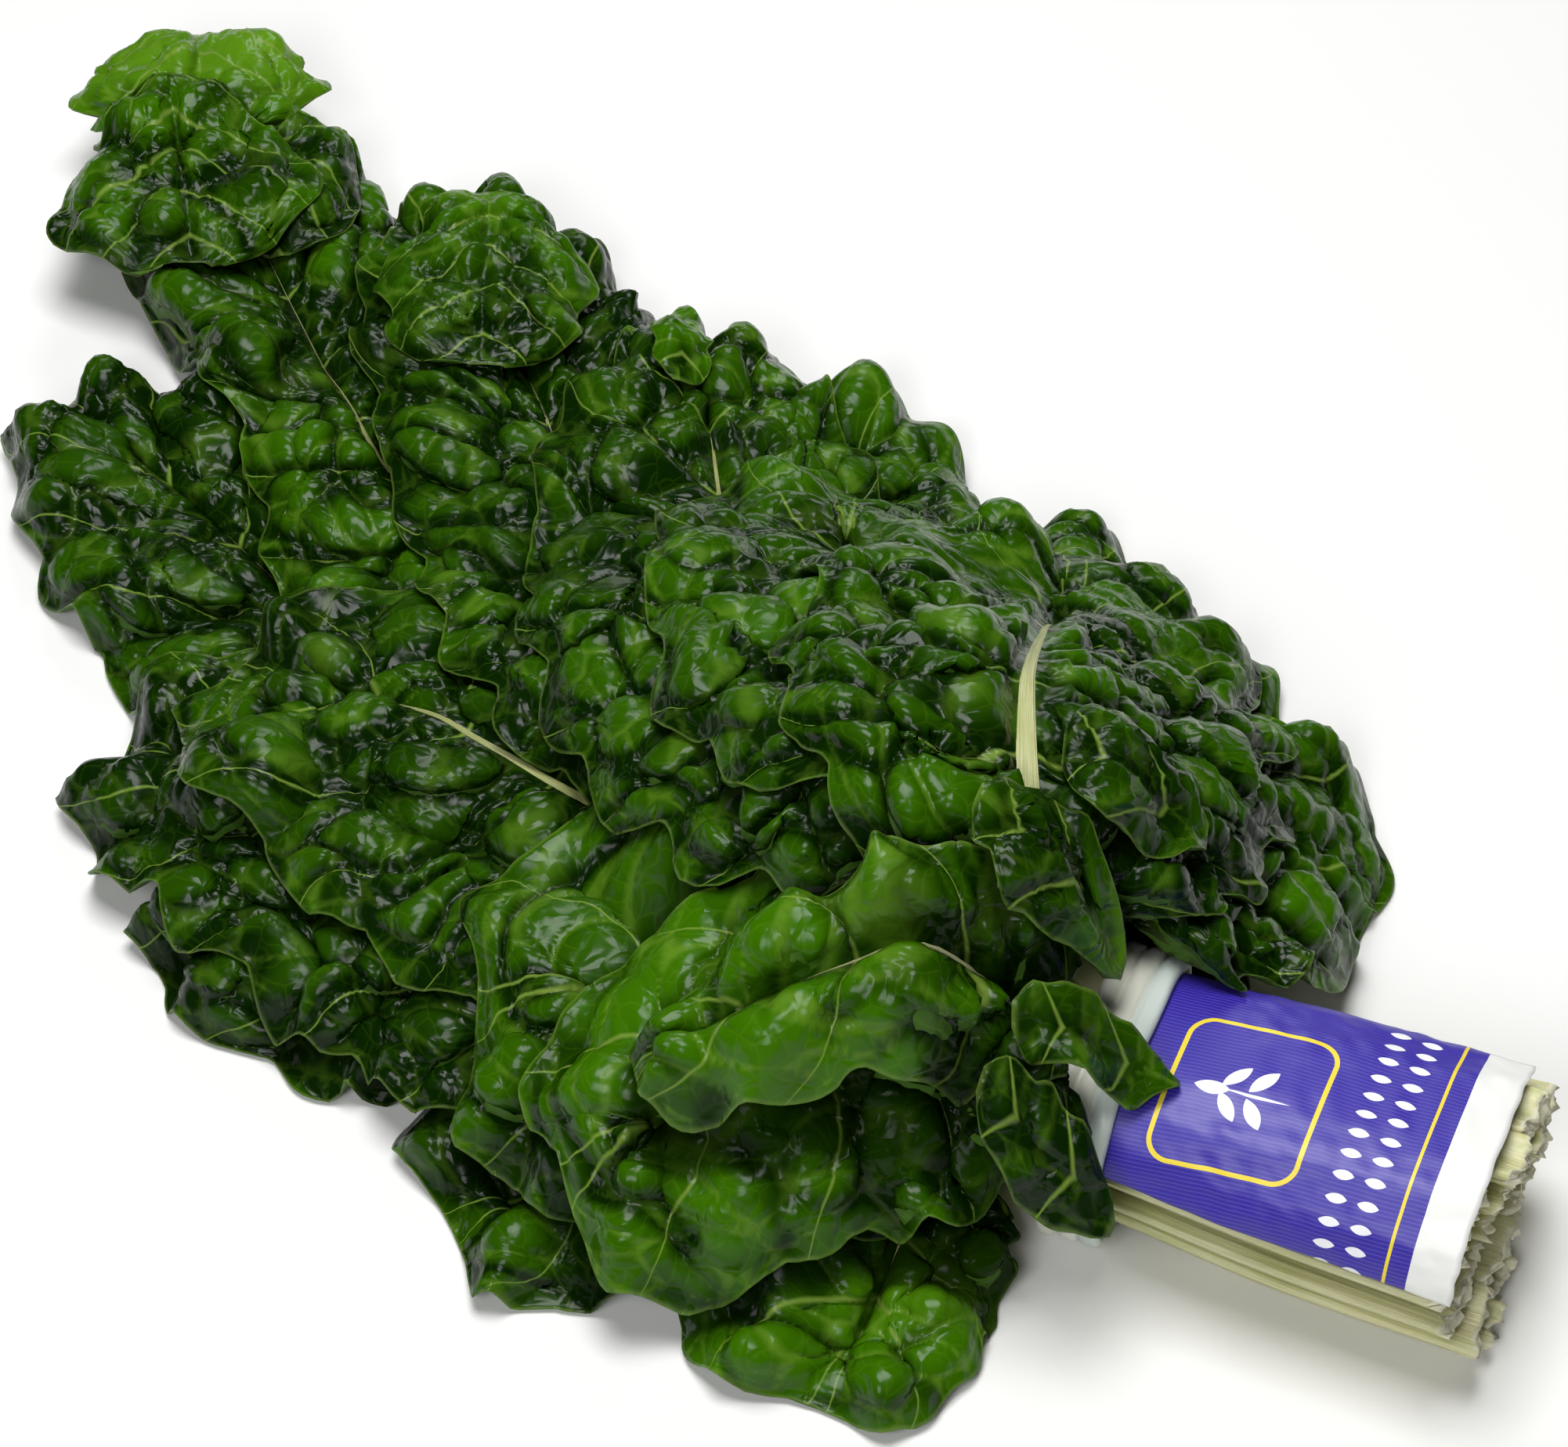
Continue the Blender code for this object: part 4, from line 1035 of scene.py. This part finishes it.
def chard_leaf():
    """Fresh chard blade: thin, waxy and glossy, dark green over pale veins.

    The side veins lie at whole numbers of vein_place, and fade out 0.85 mm to each side at the rib and
    0.3 mm at the rim. Finer veins follow the dents' borders, a hair-fine net has meshes of 6 mm, and the
    rim is a pale line. Shade in the creases is painted into the colour: the borders between domes are
    painted darker and their crests lighter, and the deeper a point is sunk below the crests round it, the
    darker its painted shade and the weaker its gloss. The finer veins are dimmed with the painted shade.
    """
    material, shader, add = new_material("fresh_chard_leaf")
    vein_place, vein_pitch, cell_edge, dent_edge, share, to_rim, underside, tone, sunk = (
        add("Attribute", attribute_name=name).outputs["Fac"]
        for name in ("vein_place", "vein_pitch", "cell_edge", "dent_edge", "share", "to_rim", "underside",
                     "tone", "sunk")
    )
    place_in_bunch = add("TexCoord").outputs["Object"]
    # Scales are per metre: the wander has waves of 11 mm, the blotches of 36 mm and the grain of 1.1 mm
    wander = add("TexNoise", {"Vector": place_in_bunch, "Scale": 90.0, "Detail": 1.0})
    blotch = add("TexNoise", {"Vector": place_in_bunch, "Scale": 28.0, "Detail": 3.0})
    grain = add("TexNoise", {"Vector": place_in_bunch, "Scale": 900.0, "Detail": 2.0})
    pushed = add("VectorMath", {0: wander.outputs["Color"], 1: (0.009,) * 3, 2: place_in_bunch},
                 operation="MULTIPLY_ADD")
    net = add("TexVoronoi", {"Vector": pushed, "Scale": 170.0}, feature="DISTANCE_TO_EDGE")

    wandered = add("Math", {0: wander, 1: 0.06, 2: vein_place}, operation="MULTIPLY_ADD")
    nearest = add("Math", {0: wandered}, operation="ROUND")
    gap = add("Math", {0: wandered, 1: nearest}, operation="SUBTRACT")
    gap = add("Math", {0: gap}, operation="ABSOLUTE")
    gap = add("Math", {0: gap, 1: vein_pitch}, operation="MULTIPLY")
    width = add("Math", {0: share, 1: -0.55, 2: 0.85}, operation="MULTIPLY_ADD")
    vein, fine_vein, hair_vein, pale_rim = (
        add("MapRange", {0: away, 1: 0.0, 2: fade, 3: amount, 4: 0.0}, interpolation_type="SMOOTHSTEP")
        for away, fade, amount in (
            (gap, width, 0.85), (dent_edge, 1.0, 0.65), (net, 0.06, 0.3), (to_rim, 0.7, 0.4),
        )
    )

    # Painted shade: darker near the borders between domes and lighter on their crests, and darker the deeper
    # a point is sunk below the crests round it
    crest = add("MapRange", {0: cell_edge, 1: 0.3, 2: 4.0, 3: -0.45, 4: 0.12},
                interpolation_type="SMOOTHSTEP")
    painted_depth_shade = add("MapRange", {0: sunk, 1: 0.0, 2: 5.0, 3: 0.1, 4: -0.38})
    shade = add("MapRange", {0: sunk, 1: 2.0, 2: 11.0, 3: 0.0, 4: 0.65},
                interpolation_type="SMOOTHSTEP")
    light = add("Math", {0: blotch, 1: 0.6, 2: tone}, operation="MULTIPLY_ADD")
    light = add("Math", {0: light, 1: painted_depth_shade}, operation="ADD")
    light = add("Math", {0: light, 1: 0.36}, operation="SUBTRACT")
    light = add("Math", {0: light, 1: crest}, operation="ADD", use_clamp=True)
    # lit follows the leaf's tone and its painted shade, and dims the finer veins where shade is painted
    lit = add("MapRange", {0: light, 3: 0.25, 4: 1.0})
    colour = paint("#081f00")
    for amount, tint in (
        (light, "#346300"),
        # Above a tone of 0.95 the blade turns yellow-green: partly young leaf colour, partly a painted glow
        # of light shining through thin blade
        (add("MapRange", {0: tone, 1: 0.95, 2: 1.9}), "#6c9c1e"),
        (add("Math", {0: hair_vein, 1: lit}, operation="MULTIPLY"), "#4c7414"),
        (add("Math", {0: fine_vein, 1: lit}, operation="MULTIPLY"), "#5f8424"),
        (vein, "#6f8a36"),
        (pale_rim, "#6f8b3a"),
        # Painted shade: near black where a crease is sunk deep below the crests round it
        (shade, "#041001"),
        (add("Math", {0: underside, 1: 0.6}, operation="MULTIPLY"), "#4c7228"),
    ):
        colour = add("Mix", {0: amount, 6: colour, 7: paint(tint)}, data_type="RGBA")

    relief = add("MapRange", {0: net, 1: 0.0, 2: 0.4, 3: 0.0, 4: 0.5}, interpolation_type="SMOOTHSTEP")
    relief = add("Math", {0: grain, 1: 0.04, 2: relief}, operation="MULTIPLY_ADD")
    relief = add("Math", {0: wander, 1: 1.3, 2: relief}, operation="MULTIPLY_ADD")
    rough = add("MapRange", {0: blotch, 1: 0.3, 2: 0.7, 3: 0.17, 4: 0.27})
    fill(shader, {
        "Base Color": colour,
        "Roughness": add("Math", {0: underside, 1: 0.2, 2: rough}, operation="MULTIPLY_ADD"),
        "Normal": add("Bump", {"Height": relief, "Strength": 1.0, "Distance": 0.0006}),
        # Painted shade on the gloss: reflections are weaker the deeper a point is sunk
        "Specular IOR Level": add("MapRange", {0: sunk, 1: 3.0, 2: 12.0, 3: 0.16, 4: 0.05}),
    })
    return material


def chard_stalk():
    """Fresh chard stalk: wet, finely ribbed and pale, cream at the cut end and greener at the blade.

    The ribs are about 1.5 mm apart and run the length of the stalk.
    """
    material, shader, add = new_material("fresh_chard_stalk")
    around, along, cut = (
        add("Attribute", attribute_name=name).outputs["Fac"] for name in ("around", "along", "cut")
    )
    place_in_bunch = add("TexCoord").outputs["Object"]
    stretched = add("Math", {0: along, 1: 0.03}, operation="MULTIPLY")
    skin = add("CombineXYZ", {0: around, 1: stretched})
    ribs = add("TexNoise", {"Vector": skin, "Scale": 0.65, "Detail": 3.0})
    # Blotches of 22 mm and fibres of 1.1 mm
    blotch = add("TexNoise", {"Vector": place_in_bunch, "Scale": 45.0, "Detail": 3.0})
    fibre = add("TexNoise", {"Vector": place_in_bunch, "Scale": 900.0, "Detail": 2.0})
    cut_tint = add("Mix", {0: fibre, 6: paint("#cbc79e"), 7: paint("#f1efdf")}, data_type="RGBA")
    colour = paint("#cfcb9e")
    for amount, tint in (
        (add("MapRange", {0: along, 1: -50.0, 2: 60.0}), paint("#a9ad6c")),
        (add("MapRange", {0: ribs, 1: 0.35, 2: 0.65, 3: 0.55, 4: 0.0}), paint("#a3ad68")),
        (add("MapRange", {0: blotch, 1: 0.45, 2: 0.75, 3: 0.0, 4: 0.5}), paint("#dcdab8")),
        (cut, cut_tint),
    ):
        colour = add("Mix", {0: amount, 6: colour, 7: tint}, data_type="RGBA")
    relief = add("Math", {0: fibre, 1: 0.15, 2: ribs}, operation="MULTIPLY_ADD")
    fill(shader, {
        "Base Color": colour,
        "Roughness": add("Math", {0: cut, 1: 0.3, 2: 0.38}, operation="MULTIPLY_ADD"),
        "Normal": add("Bump", {"Height": relief, "Strength": 1.0, "Distance": 0.0008}),
        "Subsurface Weight": 0.3,
        "Subsurface Radius": (1.0, 0.9, 0.5),
        "Subsurface Scale": 0.002,
    })
    return material


def soft_plastic_band():
    """Soft moulded polyethylene band: milky, half glossy, with light passing a little way in.

    A haze of 6 mm makes it more and less glossy, and its first turn is a little bluer than the others.
    """
    material, shader, add = new_material("milky_polyethylene_band")
    turn = add("Attribute", attribute_name="turn").outputs["Fac"]
    haze = add("TexNoise", {"Vector": add("TexCoord").outputs["Object"], "Scale": 160.0, "Detail": 3.0})
    bluish = add("MapRange", {0: turn, 1: 1.2, 2: 0.0, 3: 0.0, 4: 0.7})
    fill(shader, {
        "Base Color": add("Mix", {0: bluish, 6: paint("#dcdccd"), 7: paint("#b9c8c6")}, data_type="RGBA"),
        "Roughness": add("MapRange", {0: haze, 1: 0.3, 2: 0.7, 3: 0.28, 4: 0.42}),
        "Normal": add("Bump", {"Height": haze, "Distance": 0.0002}),
        "Subsurface Weight": 0.4,
        "Subsurface Radius": (1.0, 1.0, 1.0),
        "Subsurface Scale": 0.002,
    })
    return material


def printed_film():
    """Printed polypropylene film: half glossy, blue-violet with fine pale stripes and a white end strip.

    The stripes run the length of the tag, 0.9 mm apart, and soft creases of 8 mm catch the light. A
    yellow frame with rounded corners holds a white sprig of five leaves, and two rows of small white
    leaves and a yellow line lie across the tag.
    """
    material, shader, add = new_material("printed_polypropylene_film")
    across, along = (add("Attribute", attribute_name=name).outputs["Fac"] for name in ("across", "along"))
    crease = add("TexNoise", {"Vector": add("TexCoord").outputs["Object"], "Scale": 120.0, "Detail": 3.0})
    wave = add("Math", {0: across, 1: 2 * math.pi / STRIPE_PITCH}, operation="MULTIPLY")
    wave = add("Math", {0: wave}, operation="SINE")
    stripe = add("MapRange", {0: wave, 1: 0.3, 2: 1.0, 3: 0.0, 4: 0.22})

    spot = add("CombineXYZ", {0: across, 1: along})
    frame_place = add("VectorMath", {0: spot, 1: (PRINT_MIDDLE, FRAME_AT, 0.0)}, operation="SUBTRACT")
    folded = add("VectorMath", {0: frame_place}, operation="ABSOLUTE")
    beyond = add("VectorMath", {0: folded, 1: FRAME_HALF}, operation="SUBTRACT")
    beyond = add("VectorMath", {0: beyond, 1: (0.0, 0.0, 0.0)}, operation="MAXIMUM")
    off_frame = add("VectorMath", {0: beyond}, operation="LENGTH")
    yellow = add("Math", {0: off_frame, 1: FRAME_CORNER, 2: 0.5}, operation="COMPARE")
    line = add("Math", {0: along, 1: LINE_AT, 2: 0.35}, operation="COMPARE")
    yellow = add("Math", {0: yellow, 1: line}, operation="MAXIMUM")

    repeated = add("Math", {0: across, 1: ROW_LEAF_PITCH / 2, 2: -ROW_LEAF_PITCH / 2}, operation="WRAP")
    rows = add("CombineXYZ", {0: repeated, 1: along})
    white = None
    for place_on_tag, x, y, turn, half_length, half_width in (
        (frame_place, 0.0, -6.4, 0.0, 3.6, 1.5),
        (frame_place, -3.6, -2.4, -0.9, 3.6, 1.4),
        (frame_place, 3.6, -2.4, 0.9, 3.6, 1.4),
        (frame_place, -3.9, 3.0, -0.95, 3.8, 1.5),
        (frame_place, 3.9, 3.0, 0.95, 3.8, 1.5),
        (frame_place, 0.0, 2.5, 0.0, 7.0, 0.35),
        (rows, 0.0, 50.0, 0.0, 2.2, 1.0),
        (rows, 0.0, 56.5, 0.0, 2.2, 1.0),
    ):
        # A leaf is where two circles of one radius overlap
        radius = (half_length**2 + half_width**2) / (2 * half_width)
        middle = (x, y, 0.0)
        off = add("VectorRotate", {"Vector": place_on_tag, "Center": middle, "Angle": turn},
                  rotation_type="Z_AXIS")
        off = add("VectorMath", {0: off, 1: middle}, operation="SUBTRACT")
        off = add("VectorMath", {0: off}, operation="ABSOLUTE")
        off = add("VectorMath", {0: off, 1: (radius - half_width, 0.0, 0.0)}, operation="ADD")
        off = add("VectorMath", {0: off}, operation="LENGTH")
        leaf = add("Math", {0: off, 1: radius}, operation="LESS_THAN")
        white = leaf if white is None else add("Math", {0: white, 1: leaf}, operation="MAXIMUM")
    strip = add("Math", {0: along, 1: TAG_LENGTH - STRIP_LENGTH}, operation="GREATER_THAN")
    colour = paint("#2d1d96")
    for amount, tint in ((stripe, "#7f79d2"), (yellow, "#e6cf2e"), (white, "#e9e9ee"), (strip, "#e3e4e0")):
        colour = add("Mix", {0: amount, 6: colour, 7: paint(tint)}, data_type="RGBA")
    fill(shader, {
        "Base Color": colour,
        "Roughness": 0.42,
        "Normal": add("Bump", {"Height": crease, "Distance": 0.0002}),
    })
    return material


def add_stage():
    """A pale floor, three soft lights and the camera, at the photograph's viewing angle."""
    floor_mesh = bpy.data.meshes.new("floor")
    corners = [(-4, -4, -0.0002), (4, -4, -0.0002), (4, 4, -0.0002), (-4, 4, -0.0002)]
    floor_mesh.from_pydata(corners, [], [(0, 1, 2, 3)])
    floor = bpy.data.objects.new("floor", floor_mesh)
    scene = bpy.context.scene
    scene.collection.objects.link(floor)
    material, shader, _ = new_material("matt_white_paper")
    fill(shader, {"Base Color": paint("#ececea"), "Roughness": 0.9})
    floor_mesh.materials.append(material)

    scene.world = bpy.data.worlds.new("studio")
    scene.world.use_nodes = True
    fill(scene.world.node_tree.nodes["Background"], {"Color": paint("#f5f7fa"), "Strength": 0.025})
    scene.view_settings.view_transform = "Standard"

    look_at = np.array([0.0, 0.0, 0.035]) - SHIFT * MM
    for name, spot, size, power in (
        ("overhead_softbox", (0.0, 0.05, 1.3), 0.65, 16.0),
        ("front_softbox", (-0.95, -0.45, 1.0), 0.55, 8.5),
        ("back_softbox", (0.9, 0.7, 0.8), 0.45, 4.0),
    ):
        lamp = bpy.data.lights.new(name, "AREA")
        lamp.size = size
        lamp.energy = power
        hang(name, lamp, np.array(spot), look_at)

    azimuth, elevation, distance = math.radians(-47.0), math.radians(48.0), 1.115
    back = np.array([math.sin(azimuth) * math.cos(elevation), -math.cos(azimuth) * math.cos(elevation),
                     math.sin(elevation)])
    lens = bpy.data.cameras.new("camera")
    lens.lens = 120.0
    lens.sensor_width = 36.0
    scene.camera = hang("camera", lens, look_at + back * distance, look_at)


def hang(name, lamp_or_camera, spot, target):
    """Puts a lamp or camera at a spot, its -Z axis towards the target and its X axis level."""
    back = (spot - target) / np.linalg.norm(spot - target)
    right = np.array([-back[1], back[0], 0.0]) / math.hypot(back[0], back[1])
    up = np.cross(back, right)
    placed = np.eye(4)
    placed[:3] = np.stack([right, up, back, spot], 1)
    held = bpy.data.objects.new(name, lamp_or_camera)
    held.matrix_world = Matrix(placed.tolist())
    bpy.context.scene.collection.objects.link(held)
    return held


def join_shells(one, other):
    """Two shells, each its points, faces and facts, as one."""
    facts = {name: np.concatenate([one[2][name], other[2][name]]) for name in one[2]}
    return np.concatenate([one[0], other[0]]), np.concatenate([one[1], other[1] + len(one[0])]), facts


def main():
    """Dresses the band and the tag, lays each leaf over those before it, and lays the loose lobes last."""
    add_stage()
    leaf_finish, stalk_finish = chard_leaf(), chard_stalk()
    band, tag = make_band(), make_tag()
    add_piece("ribbed_band", *band, soft_plastic_band(), "band", "band")
    add_piece("printed_tag", *tag, printed_film(), "tag", "tag")
    cover = Pile()
    cover.lay(band[0])
    cover.lay(tag[0])
    pile = Pile()
    blades = []
    for number, leaf in enumerate(LEAVES, 1):
        course = Course(leaf)
        packed_height, raise_at = rib_line(leaf, number, course, pile)
        blades.append(make_blade(leaf, number, course, pile, cover, raise_at))
        stalk = make_stalk(leaf, number, course, packed_height, raise_at)
        pile.lay(blades[-1][0])
        pile.lay(stalk[0])
        add_piece(f"leaf_stalk_{number:02d}", *stalk, stalk_finish, "stalk", f"stalk_{number:02d}")
    for number, lobe in enumerate(LOBES, FIRST_LOBE_SEED):
        extra = make_lobe(lobe, number, pile.over(cover))
        pile.lay(extra[0])
        blades[lobe.blade - 1] = join_shells(blades[lobe.blade - 1], extra)
    # How far each point lies below the crests round it, which the leaf finish turns into painted shade and
    # weaker gloss in the creases
    crests = pile.crests()
    for number, (points, faces, facts) in enumerate(blades, 1):
        facts["sunk"] = pile.read(crests, points[:, :2]) - points[:, 2]
        add_piece(f"leaf_blade_{number:02d}", points, faces, facts, leaf_finish, "blade",
                  f"blade_{number:02d}")


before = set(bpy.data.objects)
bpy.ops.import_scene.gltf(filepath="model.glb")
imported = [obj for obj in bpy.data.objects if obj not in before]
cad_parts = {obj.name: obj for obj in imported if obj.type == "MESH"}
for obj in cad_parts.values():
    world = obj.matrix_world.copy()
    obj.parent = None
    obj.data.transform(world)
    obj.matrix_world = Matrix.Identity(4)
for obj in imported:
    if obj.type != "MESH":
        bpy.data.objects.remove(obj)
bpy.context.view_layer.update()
low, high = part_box("band")
SHIFT = np.append(NECK, 0.0) - np.append((np.array(low) + np.array(high))[:2] / 2 / MM, 0.0)
main()
